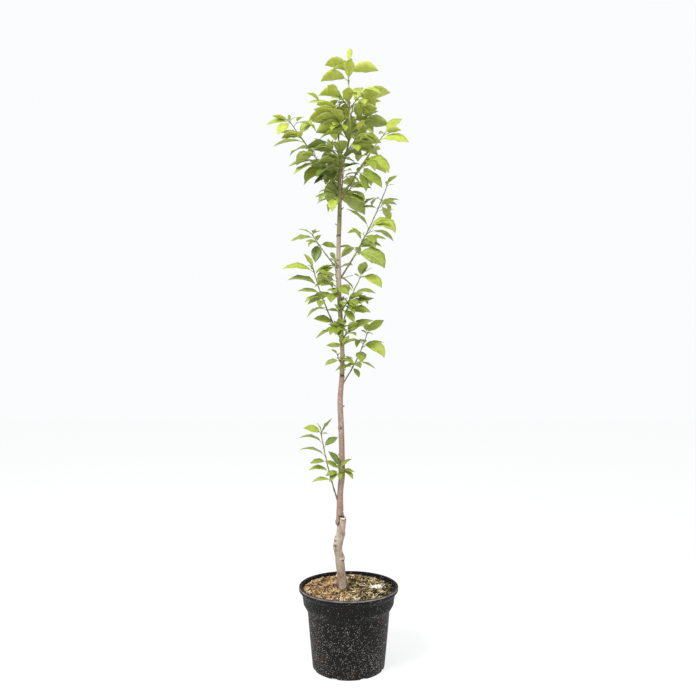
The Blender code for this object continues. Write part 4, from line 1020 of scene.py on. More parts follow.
def makePot():
    rim, top, foot = potMake["rim"], potMake["height"], potMake["foot"]
    inner = rim - potMake["flange"]
    bodyTop, rise, bow = potMake["taper"]
    profile = [potMake["hub"]] + [(foot + out, height) for out, height in potMake["footEdge"]]
    for share in (0.25, 0.5, 0.75, 0.97):
        radius = foot + (bodyTop - foot) * share + bow * math.sin(math.pi * share)
        profile.append((radius, 0.0012 + rise * share))
    profile += potMake["collar"]
    profile += [(rim + out, top + up) for out, up in potMake["rimEdge"]]
    profile += [(inner + out, top + up) for out, up in potMake["innerEdge"]]
    profile += potMake["inside"]
    profile += [(foot - potMake["wall"], potMake["floor"]), (potMake["hub"][0], potMake["floor"])]
    pot = turned("nursery_pot", profile, potMake["sides"])
    cutters = []
    deselect()
    for number in range(potMake["notches"]):
        heading = potMake["notchHeading"] + number * 360.0 / potMake["notches"]
        bpy.ops.mesh.primitive_cube_add(size=1.0, location=headingVector(heading) * foot,
                                        rotation=(0.0, 0.0, math.radians(heading)))
        cutter = bpy.context.object
        cutter.scale = potMake["notchSize"]
        settle(cutter)
        cutters.append(cutter)
    for cutter in cutters:
        cutter.select_set(True)
    bpy.ops.object.join()
    editAll(cutter)
    bpy.ops.mesh.bevel(offset=potMake["notchRound"], segments=2)
    bpy.ops.object.mode_set(mode='OBJECT')
    pick(pot)
    cut = pot.modifiers.new("notches", 'BOOLEAN')
    cut.object = cutter
    cut.operation = 'DIFFERENCE'
    bpy.ops.object.modifier_apply(modifier=cut.name)
    bpy.data.objects.remove(cutter)
    dress(pot, "black_plastic", [plastic], "pot", degrees=35.0)
    print("pot:", len(pot.data.polygons), "faces")


makePot()


# the potting mix: a bed and loose bark chips on it
mixMake = {
    "bedHeight": 0.1785,
    "bedRadius": 0.1118,
    "bedFoot": 0.170,
    "bedLevel": 0.178,
    "bedHub": 0.0015,
    "bedRings": 26,
    "bedSides": 120,
    "lumps": ((55.0, 0.65), (160.0, 0.35)),
    "bump": 0.0016,
    "edge": (0.095, 0.016, 0.0012),       # where the bed's fall to the wall begins, its width and depth
    "fines": ((0.055, 0.030, 0.013), (0.010, 0.006, 0.004)),
    "chips": 6400,
    "chipLength": (0.0040, 0.0118),
    "chipWidth": (0.11, 0.25),
    "chipThick": (0.08, 0.17),
    "chipShapes": 5,
    "chipRough": 0.13,
    "chipBend": 0.35,
    "chipEnds": 0.62,         # how wide a chip's ends are
    "tilt": (0.38, 0.40),
    "jitter": 0.0012,
    "sunk": (-0.0006, 0.0014),
    "lifted": 0.0008,         # straw and pale chips lie on top
    "seed": 7,
    "highest": 0.1842,
    "chipSpread": 0.1075,
    "chipReach": 0.1105,
    "chipTurn": 137.508,      # each chip's place turns by this from the one before
    "trunkRoom": 0.0125,      # chips lie further from the trunk, by this share of their length too
    "chipRoom": 0.45,
    "clump": (0.068, 0.006, 0.0125),      # where the pale clump lies, and its size
    "clumpShape": (0.75, 1.32),           # what a distance across counts, and its reach in its own sizes
    "flecks": (-0.005, 0.065, -0.080, 0.13),     # the near edge: middle, half width, depth and pale share
    "patches": (46.0, 0.42),
    "right": (-0.04, 0.08),               # where the right side begins, and over what width
    "dark": (0.22, 0.22, 0.24),           # the share that is dark, what the right adds and what its edge adds
    "darkEdge": (0.074, 0.02),
    "brown": (0.28, -0.14),
    "olive": 0.24,
    "straw": (0.98, -0.08),
}
chipKinds = {    # colour and its dark side
    "tan": ((0.68, 0.455, 0.215), (0.43, 0.255, 0.105)),
    "brown": ((0.30, 0.165, 0.070), (0.13, 0.066, 0.028)),
    "dark": ((0.022, 0.013, 0.006), (0.006, 0.004, 0.003)),
    "straw": ((0.95, 0.84, 0.58), (0.78, 0.62, 0.36)),
    "olive": ((0.42, 0.360, 0.120), (0.19, 0.160, 0.045)),
    "pale": ((0.97, 0.95, 0.90), (0.86, 0.82, 0.74)),
}


def bedHeight(x, y):
    place = Vector((x, y, 0.0))
    bump = sum(noise.noise(place * scale) * share for scale, share in mixMake["lumps"])
    start, width, drop = mixMake["edge"]
    edge = clamp((math.hypot(x, y) - start) / width)
    return mixMake["bedHeight"] + bump * mixMake["bump"] - edge * drop


def makeBed():
    radius, count, level = mixMake["bedRadius"], mixMake["bedRings"], mixMake["bedLevel"]
    rings = [(radius, mixMake["bedFoot"])]
    rings += [(radius * (1.0 - number / count), level) for number in range(count)]
    rings.append((mixMake["bedHub"], level))
    bed = turned("mix_bed", rings, mixMake["bedSides"])
    for vertex in bed.data.vertices:
        if vertex.co.z > level - 0.0005:
            vertex.co.z = bedHeight(vertex.co.x, vertex.co.y)
    dress(bed, "mix_chips", [chipFinish("mix_fines", *mixMake["fines"])], "potting_mix", degrees=60.0)


def chipPattern(seed):
    # one flake: a slab cut across its middle, bent and roughened
    deselect()
    bpy.ops.mesh.primitive_cube_add(size=1.0)
    flake = bpy.context.object
    editAll(flake)
    bpy.ops.mesh.bisect(plane_co=(0.0, 0.0, 0.0), plane_no=(1.0, 0.0, 0.0))
    bpy.ops.mesh.select_all(action='SELECT')
    bpy.ops.transform.vertex_random(offset=mixMake["chipRough"], seed=seed)
    bpy.ops.object.mode_set(mode='OBJECT')
    for vertex in flake.data.vertices:
        if abs(vertex.co.x) < 0.25:
            vertex.co.z += mixMake["chipBend"]
        else:
            vertex.co.y *= mixMake["chipEnds"]
    return flake


def chipKind(x, y, chance):
    # golden to the left, olive and dark to the right, a pale clump, and pale flecks along the near edge
    clumpX, clumpY, clumpSize = mixMake["clump"]
    across, reach = mixMake["clumpShape"]
    gap = math.hypot((x - clumpX) * across, y - clumpY) / clumpSize
    if chance.random() < reach - gap:
        return "pale"
    middle, wide, near, pale = mixMake["flecks"]
    if y < near and abs(x - middle) < wide and chance.random() < pale:
        return "pale"
    scale, depth = mixMake["patches"]
    lot = chance.random() + noise.noise(Vector((x, y, 0.3)) * scale) * depth
    rightStart, rightWidth = mixMake["right"]
    right = clamp((x - rightStart) / rightWidth)
    dark, darkRight, darkEdge = mixMake["dark"]
    edgeStart, edgeWidth = mixMake["darkEdge"]
    dark = dark + darkRight * right + darkEdge * clamp((x - edgeStart) / edgeWidth)
    if lot < dark:
        return "dark"
    brown = dark + mixMake["brown"][0] + mixMake["brown"][1] * right
    if lot < brown:
        return "brown"
    if lot < brown + mixMake["olive"] * right:
        return "olive"
    return "straw" if lot > mixMake["straw"][0] + mixMake["straw"][1] * right else "tan"


def makeChips():
    chance = random.Random(mixMake["seed"])
    patterns = [chipPattern(seed) for seed in range(mixMake["chipShapes"])]
    shapes = {kind: [] for kind in chipKinds}
    foot = trunkPoint(groundHeight)
    chipTurn = math.radians(mixMake["chipTurn"])
    jitter = mixMake["jitter"]
    for number in range(mixMake["chips"]):
        radius = mixMake["chipSpread"] * math.sqrt((number + 0.5) / mixMake["chips"])
        angle = number * chipTurn
        length = chance.uniform(*mixMake["chipLength"])
        radius = min(radius, mixMake["chipReach"] - length * 0.5)
        x = radius * math.cos(angle) + chance.uniform(-jitter, jitter)
        y = radius * math.sin(angle) + chance.uniform(-jitter, jitter)
        width = length * chance.uniform(*mixMake["chipWidth"])
        thick = length * chance.uniform(*mixMake["chipThick"])
        kind = chipKind(x, y, chance)
        if math.hypot(x - foot.x, y - foot.y) < mixMake["trunkRoom"] + length * mixMake["chipRoom"]:
            continue
        turn = Matrix.Rotation(chance.uniform(0.0, math.tau), 3, 'Z')
        for spread, axis in zip(mixMake["tilt"], "YX"):
            turn = turn @ Matrix.Rotation(chance.gauss(0.0, spread), 3, axis)
        lift = mixMake["lifted"] if kind in ("straw", "pale") else 0.0
        centre = Vector((x, y, bedHeight(x, y) + thick * 0.5 + chance.uniform(*mixMake["sunk"]) + lift))
        pattern = chance.choice(patterns)
        corners = []
        for vertex in pattern.data.vertices:
            corner = centre + turn @ Vector((vertex.co.x * length, vertex.co.y * width, vertex.co.z * thick))
            corner.z = min(corner.z, mixMake["highest"])
            corners.append(corner)
        shapes[kind].append(corners)
    for kind, made in shapes.items():
        piece = copies("chips_" + kind, patterns[0], made, smooth=False)
        dress(piece, "mix_chips", [chipFinish("chip_" + kind, *chipKinds[kind])])
    for pattern in patterns:
        bpy.data.objects.remove(pattern)
    print("chips:", sum(len(made) for made in shapes.values()))


makeBed()
makeChips()


# the trunk
trunkMake = {
    "step": 0.0028,
    "fineStep": 0.0011,       # at the graft and the knobs
    "fineTop": 0.360,
    "bevel": 20,
    "tip": 1.436,
    "knobTall": 1.30,         # a knob's half height as a share of its radius
    "knobWide": 42.0,
    "knobOut": 0.52,
    # how pale a knob is: partly worn bark, partly painted highlight
    "knobPaleAndHighlight": 0.85,
    "paleAndHighlightTop": 0.32,          # knobs are pale below this height: partly worn bark, partly painted highlight
    "paleSpotsAndHighlight": (0.35, 260.0, 1.6),      # how pale at least, spots to a metre, and what they add
    "scarEdge": (0.22, 0.40),             # where in its mark a scar begins to darken, and over how much of it
    "lenticel": (0.0013, 9.0, 0.75),      # half height, half width in degrees, how pale
    "oldTop": 0.352,          # the bark is rough below this height
    "youngShare": 0.42,
    "lumps": (70.0, 42.0, 0.070),         # to a metre across and along, and how high for the radius
    "ridges": (330.0, 26.0, 0.030),
    "grit": (620.0, 0.016),
    "plainFoot": 0.0015,      # no relief this near to the cut foot
    "sunk": 0.0010,
}
knobs = (    # height, heading, radius
    (0.252, 10, 0.0060), (0.249, 318, 0.0028), (0.274, 175, 0.0058), (0.286, 205, 0.0056),
    (0.297, 188, 0.0042), (0.306, 20, 0.0050), (0.333, 165, 0.0065), (0.565, 190, 0.0030),
    (0.691, 350, 0.0030), (1.045, 200, 0.0028),
)
# each scar is a dent, darkened: partly its own dark colour, partly painted shade in the crease
scars = (    # height, heading, half height, half width in degrees, how deep, how dark
    (0.259, 350, 0.004, 30, 0.0006, 0.35), (0.279, 222, 0.0016, 36, 0.0012, 0.80),
    (0.2915, 205, 0.0015, 40, 0.0012, 0.95), (0.301, 188, 0.0014, 34, 0.0010, 0.90),
    (0.244, 325, 0.0012, 34, 0.0006, 0.80), (0.268, 240, 0.0012, 26, 0.0005, 0.55),
    (0.305, 330, 0.002, 26, 0.0004, 0.40), (0.371, 265, 0.0012, 60, 0.0004, 0.55),
    (0.389, 95, 0.002, 40, 0.0004, 0.55), (0.466, 350, 0.0022, 26, 0.0004, 0.85),
    (0.565, 262, 0.0030, 22, 0.0008, 1.0), (0.602, 300, 0.0014, 30, 0.0002, 0.35),
    (0.618, 110, 0.002, 30, 0.0004, 0.60), (0.650, 230, 0.0014, 34, 0.0002, 0.35),
    (0.694, 270, 0.0030, 130, 0.0009, 1.0), (0.694, 90, 0.0026, 110, 0.0008, 0.90),
    (0.756, 140, 0.002, 34, 0.0004, 0.5), (0.830, 60, 0.002, 34, 0.0004, 0.55),
    (0.902, 280, 0.0016, 50, 0.0003, 0.45), (0.968, 250, 0.002, 44, 0.0004, 0.55),
    (1.045, 270, 0.0026, 95, 0.0006, 0.90), (1.050, 90, 0.0020, 90, 0.0005, 0.75),
    (1.096, 300, 0.0018, 50, 0.0004, 0.65), (1.130, 240, 0.0020, 50, 0.0004, 0.55),
    (1.176, 290, 0.0016, 50, 0.0003, 0.50),
)
graft = {
    "height": 0.3445,
    "slope": 1.75,
    "width": 0.0021,
    "depth": 0.0019,
    "top": 0.375,             # the graft's seam ends below this height
    "blend": 0.0022,
    "shadow": (0.345, 0.3535),            # the dark gap over the stub: its heights,
    "shadowWide": (-0.0240, -0.0060),     # its reach across and its hindmost place
    "shadowBack": 0.005,
    "shadowDark": (0.9, 0.0016),          # how dark, and how far down from its top it takes to be so
    "seamDark": (0.25, 0.5, 0.98),        # where in the seam it begins to darken, over how much, and how dark
}
lenticels = (    # pale specks: height, heading
    (0.5560, 292.0), (0.5600, 268.0), (0.5740, 285.0), (0.5800, 262.0), (0.5850, 300.0), (0.5920, 277.0),
    (0.5980, 293.0), (0.6030, 262.0), (0.5530, 246.0), (0.4700, 283.0), (0.5010, 262.0), (0.4100, 290.0),
    (0.6300, 280.0), (0.6600, 262.0), (0.3880, 276.0), (0.9900, 284.0), (0.9600, 262.0), (1.0200, 290.0),
)


def turnBetween(first, second):
    return abs((first - second + 180.0) % 360.0 - 180.0)


def markShare(height, heading, place, turn, tall, wide):
    # 1 at the middle of a mark on the bark, less and less round it
    rise = (height - place) / tall
    side = turnBetween(heading, turn) / wide
    return math.exp(-rise * rise - side * side)


def barkLumps(place, height, across, along, high):
    return high * noise.noise(Vector((place.x * across, place.y * across, height * along)))


def trunkDent(height, heading, axisX, place):
    # how far the bark stands out here, how dark it is from scars and painted shade, how much of it is the
    # rootstock's, and how pale it is from lenticels, wear and painted highlight
    out, dark, worn = 0.0, 0.0, 0.0
    least, spots, more = trunkMake["paleSpotsAndHighlight"]
    for knobHeight, knobHeading, radius in knobs:
        tall, wide = radius * trunkMake["knobTall"], trunkMake["knobWide"]
        near = markShare(height, heading, knobHeight, knobHeading, tall, wide)
        out += radius * trunkMake["knobOut"] * near
        # knobs pale: partly worn bark, partly painted highlight
        if height < trunkMake["paleAndHighlightTop"]:
            rubbedAndLit = least + max(noise.noise(place * spots), 0.0) * more
            worn = max(worn, near * trunkMake["knobPaleAndHighlight"] * rubbedAndLit)
    tall, wide, pale = trunkMake["lenticel"]
    for spotHeight, spotHeading in lenticels:
        worn = max(worn, pale * markShare(height, heading, spotHeight, spotHeading, tall, wide))
    edgeStart, edgeWidth = trunkMake["scarEdge"]
    for scarHeight, scarHeading, tall, wide, depth, depthOfColour in scars:
        near = markShare(height, heading, scarHeight, scarHeading, tall, wide)
        out -= depth * near
        dark = max(dark, depthOfColour * clamp((near - edgeStart) / edgeWidth))
    radius = trunkValues(height)[1] / 2.0
    old = 1.0 if height < trunkMake["oldTop"] else trunkMake["youngShare"]
    gritScale, gritHigh = trunkMake["grit"]
    relief = barkLumps(place, height, *trunkMake["lumps"]) * old
    relief += barkLumps(place, height, *trunkMake["ridges"])
    out += radius * (relief + gritHigh * noise.noise(place * gritScale))
    stock = 0.0
    if height < graft["top"]:
        seam = height - (graft["height"] + graft["slope"] * (place.x - axisX))
        stock = clamp(0.5 - seam / graft["blend"])
        if abs(seam) < graft["width"] * 3.0:
            near = math.exp(-(seam / graft["width"]) ** 2)
            out -= graft["depth"] * near
            start, width, darkest = graft["seamDark"]
            dark = max(dark, darkest * clamp((near - start) / width))
    # painted shadow in the gap over the stub
    low, high = graft["shadow"]
    left, right = graft["shadowWide"]
    if low < height < high and place.y < graft["shadowBack"] and left < place.x < right:
        darkest, fall = graft["shadowDark"]
        dark = max(dark, darkest * min((high - height) / fall, 1.0))
    return out, min(dark, 1.0), stock, min(worn, 1.0) * (1.0 - min(dark, 1.0))


def markBark(piece, **marks):
    # what the bark's finish reads at each corner: scars and painted shade, rootstock, and pale marks with
    # painted highlight
    for name, values in marks.items():
        piece.data.attributes.new(name, 'FLOAT', 'POINT').data.foreach_set("value", values)


def makeTrunk():
    heights = []
    height = groundHeight
    while height < trunkMake["tip"]:
        heights.append(height)
        height += trunkMake["fineStep"] if height < trunkMake["fineTop"] else trunkMake["step"]
    heights.append(trunkMake["tip"])
    points = [trunkPoint(height) for height in heights]
    radii = [trunkValues(height)[1] / 2.0 for height in heights]
    trunk = tubes("trunk_bark", [(points, radii)], trunkMake["bevel"])
    marks = []
    for vertex in trunk.data.vertices:
        height = vertex.co.z
        axis = trunkPoint(height)
        away = Vector((vertex.co.x - axis.x, vertex.co.y - axis.y, 0.0))
        heading = math.degrees(math.atan2(away.y, away.x))
        out, *shades = trunkDent(height, heading, axis.x, vertex.co)
        marks.append(shades)
        if away.length > 0.0001 and height > groundHeight + trunkMake["plainFoot"]:
            vertex.co += away.normalized() * out
        vertex.co.z = max(vertex.co.z, groundHeight - trunkMake["sunk"])
    markBark(trunk, **dict(zip(("scar", "stock", "worn"), zip(*marks))))
    dress(trunk, "bark", [trunkBark], "trunk", degrees=50.0)
    print("trunk:", len(trunk.data.polygons), "faces")


snagMake = {
    "foot": (-0.0176, 0.0064, 0.304),
    "top": (-0.0146, -0.0014, 0.3515),
    "radii": (0.0066, 0.0084, 0.0088, 0.0087, 0.0086, 0.0084),      # from the foot to the top
    "rings": 30,
    "bevel": 12,
    "cut": (0.24, -0.36, 1.0),
    "cutHeight": 0.3464,
    "insets": ((0.0004, 0.0005), (0.0009, 0.0003), (0.0006, -0.0004), (0.0024, 0.0003)),     # width, depth
    "lumps": ((150.0, 0.0007), (420.0, 0.0003)),
    # painted shade along the rim of the cut, from this far below the cut to this far above
    "darkEdge": (-0.0002, 0.0007),
    "crevice": (-0.72, 0.329),            # painted shade where it faces the trunk, above this height
    # how dark the painted shade is
    "dark": 0.90,
    "wood": 0.0062,           # how far the pale wood reaches from the cut's middle
}


def makeSnag():
    # the cut top of the rootstock in front of the graft, its cut face turned up and to the front
    foot, top = Vector(snagMake["foot"]), Vector(snagMake["top"])
    widths = snagMake["radii"]
    line, radii = [], []
    for number in range(snagMake["rings"] + 1):
        share = number / snagMake["rings"]
        place = share * (len(widths) - 1)
        index = min(int(place), len(widths) - 2)
        line.append(foot + (top - foot) * share)
        radii.append(widths[index] + (widths[index + 1] - widths[index]) * (place - index))
    snag = tubes("graft_snag", [(line, radii)], snagMake["bevel"])
    middle = Vector((top.x, top.y, snagMake["cutHeight"]))
    editAll(snag)
    bpy.ops.mesh.bisect(plane_co=middle, plane_no=snagMake["cut"], use_fill=True, clear_outer=True)
    for thickness, depth in snagMake["insets"]:
        bpy.ops.mesh.inset(thickness=thickness, depth=depth)
    bpy.ops.object.mode_set(mode='OBJECT')
    cutWay = Vector(snagMake["cut"]).normalized()
    (faces, creviceFoot), (edgeLow, edgeHigh) = snagMake["crevice"], snagMake["darkEdge"]
    # painted shade: the rim of the cut and the side that faces the trunk are darkened, in the gap between the
    # stub and the trunk
    dark = []
    for vertex in snag.data.vertices:
        lumps = sum(noise.noise(vertex.co * scale) * depth for scale, depth in snagMake["lumps"])
        above = (vertex.co - middle).dot(cutWay)
        crevice = vertex.normal.x < faces and vertex.co.z > creviceFoot
        dark.append(snagMake["dark"] if crevice or edgeLow < above < edgeHigh else 0.0)
        vertex.co += vertex.normal * lumps
    count = len(dark)
    markBark(snag, scar=dark, stock=[1.0] * count, worn=[0.0] * count)
    dress(snag, "bark", [trunkBark, limbFinishes["pale_cut_wood"]], degrees=50.0)
    for face in snag.data.polygons:
        gap = face.center - middle
        above = gap.dot(cutWay)
        if above > 0.0001 and (gap - cutWay * above).length < snagMake["wood"]:
            face.material_index = 1


makeTrunk()
makeSnag()


# boughs, stems and twigs
limbMake = {
    "step": 0.0030,
    "nodeSwell": 0.30,
    "nodeReach": 0.0022,
    "collar": (0.72, 0.66, 0.56, 0.46, 0.30),     # a bough's foot, as shares of the trunk's radius
    "green": ("right_lowest", "right_lower"),      # boughs that are still green
    "rings": (0.34, 0.66, 0.93),          # where a bough swells a little, and how much
    "ringSwell": 0.7,
    "stemRough": 0.00010,
    "boughRough": 0.00014,
}


def eased(points, step):
    # a smooth line through the rule's points
    line = []
    for index in range(len(points) - 1):
        before = points[max(index - 1, 0)]
        start, end = points[index], points[index + 1]
        after = points[min(index + 2, len(points) - 1)]
        count = max(1, round((end - start).length / step))
        for part in range(count):
            share = part / count
            square, cube = share * share, share ** 3
            line.append(0.5 * ((2.0 * start) + (end - before) * share
                               + (2.0 * before - 5.0 * start + 4.0 * end - after) * square
                               + (3.0 * start - before - 3.0 * end + after) * cube))
    line.append(points[-1].copy())
    return line


def limbRadii(line, firstWidth, lastWidth, nodes, swell=1.0):
    total = pathLength(line)
    travelled = 0.0
    radii = []
    for index, place in enumerate(line):
        if index:
            travelled += (place - line[index - 1]).length
        radius = (firstWidth + (lastWidth - firstWidth) * travelled / total) / 2.0
        for node in nodes:
            gap = (place - node).length / limbMake["nodeReach"]
            if gap < 3.0:
                radius *= 1.0 + limbMake["nodeSwell"] * swell * math.exp(-gap * gap)
        radii.append(radius)
    return radii


def limbPiece(name, limbs, bevel, rough, slot, bark, replaced):
    piece = tubes(name, limbs, bevel)
    roughen(piece, 420.0, limbMake[rough])
    dress(piece, slot, [limbFinishes[bark]], *replaced, degrees=60.0)


def makeLimbs():
    boughLimbs = {"boughs": [], "green_boughs": []}
    boughNodes = {"boughs": [], "green_boughs": []}
    stemLimbs = []
    for grown in shoots:
        shoot = grown["shoot"]
        nodes = [leaf["root"] for leaf in grown["leaves"]]
        bare = shoot["bare"]
        splitWidth = shoot["width"] + (rule["stemTip"] - shoot["width"]) * bare / grown["total"]
        if bare:
            line = eased(pathPart(grown["path"], 0.0, bare), limbMake["step"])
            rings = [pathPlace(grown["path"], bare * share)[0] for share in limbMake["rings"]]
            kind = "green_boughs" if shoot["name"] in limbMake["green"] else "boughs"
            boughNodes[kind].append("bough_" + shoot["name"])
            radii = limbRadii(line, shoot["width"], splitWidth, rings, limbMake["ringSwell"])
            boughLimbs[kind].append((line, radii))
            radius = trunkValues(shoot["height"])[1] / 2.0
            collar = [radius * part for part in limbMake["collar"]]
            boughLimbs[kind].append((line[:len(collar)], collar))
        limbs = [(grown["stem"], splitWidth, rule["stemTip"], nodes)]
        limbs += [(twig, *rule["twigWidths"], nodes) for twig, _, _ in grown["twigs"]]
        limbs += [(twig, *finer["widths"], [twig[-1]]) for twig in grown["finerTwigs"]]
        for path, firstWidth, lastWidth, swellings in limbs:
            line = eased(path, limbMake["step"])
            stemLimbs.append((line, limbRadii(line, firstWidth, lastWidth, swellings)))
    for kind, bark in (("boughs", "bough_bark"), ("green_boughs", "green_bough_bark")):
        limbPiece(kind, boughLimbs[kind], 3, "boughRough", "young_bark", bark, boughNodes[kind])
    masses = ["foliage_" + grown["shoot"]["name"] for grown in shoots]
    limbPiece("stems_and_twigs", stemLimbs, 2, "stemRough", "leaf_green", "green_stem_bark", masses)
    print("limbs:", sum(len(limbs) for limbs in boughLimbs.values()) + len(stemLimbs))


makeLimbs()


# leaves
leafMake = {
    "columns": 4,
    "rows": 7,
    "rowShares": (0.0, 0.11, 0.27, 0.46, 0.65, 0.82, 0.93, 1.0),     # along the blade, closer at the tip
    "thickness": 0.0006,
    "reach": 0.985,           # share of the solid blade's length
    "wave": 0.030,
    "waveSpread": (0.4, 1.2),
    "waves": 2.4,
    "waveShift": 1.9,         # between a blade's two halves
    "skew": 0.05,
    "hollow": (1.15, 0.30),   # each half bends down towards its edge
    "fuller": 0.12,           # what the crown's blades gain in width, from the lower height to the upper
    "fullerFrom": (1.05, 1.17),
    "young": 2,               # small leaves close to a stem's tip
    "youngBelow": 0.004,
    "youngSize": 0.30,        # as a share of the shoot's leaf
    "youngBreadth": 0.8,
    "stalkOn": 0.05,          # the stalk's reach under the blade, and its width, as shares of the leaf
    "stalkWidth": 0.014,
    "stalkWidest": 0.0009,
    "paleVeins": 1.15,
    "stalkSteps": (-0.05, 0.12, 0.35, 0.65, 1.0),
    "stalkWidths": (1.7, 1.35, 1.0, 0.95, 0.95, 0.7),
    "gloss": (0.36, 0.55),    # roughness above and below
    "seed": 31,
}
outline = (    # share of the blade's length, half width as a share of it
    (0.00, 0.030), (0.08, 0.112), (0.16, 0.172), (0.24, 0.214), (0.34, 0.248), (0.45, 0.263), (0.55, 0.258),
    (0.65, 0.226), (0.75, 0.176), (0.82, 0.128), (0.88, 0.082), (0.93, 0.045), (0.97, 0.020), (1.00, 0.004),
)
# four tones of one green, dealt out by leafTone: partly the leaves' own young and old greens, partly lit and
# shaded copies with painted light and shade
leafColours = {    # upper side, underside, veins
    "lime": ((0.485, 0.575, 0.068), (0.575, 0.645, 0.115), (0.68, 0.74, 0.20)),
    "light": ((0.400, 0.485, 0.050), (0.455, 0.525, 0.100), (0.57, 0.64, 0.18)),
    "mid": ((0.275, 0.355, 0.040), (0.345, 0.410, 0.088), (0.45, 0.53, 0.15)),
    "deep": ((0.150, 0.218, 0.030), (0.225, 0.285, 0.070), (0.30, 0.38, 0.11)),
}
toneMake = {
    "least": 0.32,
    "outer": (0.12, 0.24),    # painted light: at this distance from the trunk a leaf is this much brighter
    "high": (1.18, 0.22, 0.50),           # and over this height, within this rise, this much: partly the young leaves' paler green, partly painted light
    "spread": 0.09,
    # painted shade for the masses inside the crown, painted light for the top tiers, and the tufts' paler
    # young green
    "shifts": {"tuft": 0.20, "leader_top": 0.12, "tier_left": 0.12, "tier_right": 0.12, "fork_left": -0.20,
               "fork_front": -0.20, "shade_left": -0.20, "shade_right": -0.20, "leader_left": -0.20},
    "steps": (("lime", 0.78), ("light", 0.52), ("mid", 0.27)),
}


def halfWidth(share):
    for (low, lowWidth), (high, highWidth) in zip(outline, outline[1:]):
        if share <= high:
            return lowWidth + (highWidth - lowWidth) * (share - low) / (high - low)
    return outline[-1][1]


def leafPattern():
    # a sheet of a few faces, given its thickness and a paler underside
    deselect()
    bpy.ops.mesh.primitive_grid_add(x_subdivisions=leafMake["columns"], y_subdivisions=leafMake["rows"],
                                    size=1.0)
    pattern = bpy.context.object
    pattern.name = "leaf_pattern"
    paint(pattern, plastic, plastic)      # two slots, for the two sides
    thicken = pattern.modifiers.new("thickness", 'SOLIDIFY')
    thicken.thickness = 0.2
    thicken.offset = 0.0
    thicken.material_offset = 1
    thicken.material_offset_rim = 1
    bpy.ops.object.modifier_apply(modifier=thicken.name)
    return pattern


def shapeLeaf(leaf, pattern, chance):
    # the pattern's corners carried along the leaf's line, folded, rolled and waved
    stalk = leaf["length"] * rule["stalkShare"]
    blade = leaf["length"] - stalk
    across = headingVector(leaf["heading"] + 90.0)
    fold = math.radians(leaf["fold"])
    phase = chance.uniform(0.0, math.tau)
    wave = leafMake["wave"] * chance.uniform(*leafMake["waveSpread"]) * blade
    skew = chance.uniform(-leafMake["skew"], leafMake["skew"])
    lower, upper = leafMake["fullerFrom"]
    fuller = 1.0 + leafMake["fuller"] * clamp((leaf["root"].z - lower) / (upper - lower))
    full, less = leafMake["hollow"]
    lines = []
    for share in leafMake["rowShares"]:
        centre, upward = leafLine(leaf, stalk + blade * leafMake["reach"] * share)
        roll = Matrix.Rotation(math.radians(leaf["roll"]), 3, upward.cross(across))
        half = blade * halfWidth(share) * leaf["breadth"] * fuller
        lines.append((share, centre, roll @ across, roll @ upward, half))
    corners = []
    for vertex in pattern.data.vertices:
        share, centre, side, normal, half = lines[round((vertex.co.y + 0.5) * leafMake["rows"])]
        part = vertex.co.x * 2.0
        reach = half * part * (1.0 + skew * part)
        rise = abs(reach) * math.sin(fold) * (full - less * abs(part))
        turn = share * math.tau * leafMake["waves"] + phase + (leafMake["waveShift"] if part < 0 else 0.0)
        ripple = wave * part * part * math.sin(turn) * math.sin(math.pi * min(share * 1.1, 1.0))
        depth = (1.0 if vertex.co.z > 0 else -1.0) * leafMake["thickness"] / 2.0
        corners.append(centre + side * (reach * math.cos(fold)) + normal * (rise + ripple + depth))
    return corners


def leafTone(leaf, chance):
    # bright at the top and the tips, deeper inside and lower down: partly the young leaves' own paler green,
    # partly painted light outside and painted shade inside
    middle = leafLine(leaf, leaf["length"] * 0.6)[0]
    axis = trunkPoint(clamp(middle.z, groundHeight, stations[-1][0]))
    distance, outer = toneMake["outer"]
    height, rise, high = toneMake["high"]
    light = toneMake["least"] + high * clamp((middle.z - height) / rise)
    light += outer * min(math.hypot(middle.x - axis.x, middle.y - axis.y) / distance, 1.0)
    light += chance.gauss(0.0, toneMake["spread"])
    light += toneMake["shifts"].get(leaf["shoot"], 0.0)
    for tone, least in toneMake["steps"]:
        if light > least:
            return tone
    return "deep"


def youngLeaves(grown, chance):
    # a few small leaves beside each stem's tip
    tip, _ = alongPath(grown["stem"], 1.0, leafMake["youngBelow"])
    made = []
    for _ in range(leafMake["young"]):
        leaf = leafPlan(tip, chance.uniform(0.0, 360.0), chance.uniform(20.0, 60.0),
                        grown["shoot"]["leaf"] * leafMake["youngSize"] * chance.uniform(0.8, 1.2), chance,
                        shoot=grown["shoot"]["name"])
        leaf["breadth"] *= leafMake["youngBreadth"]
        made.append(leaf)
    return made


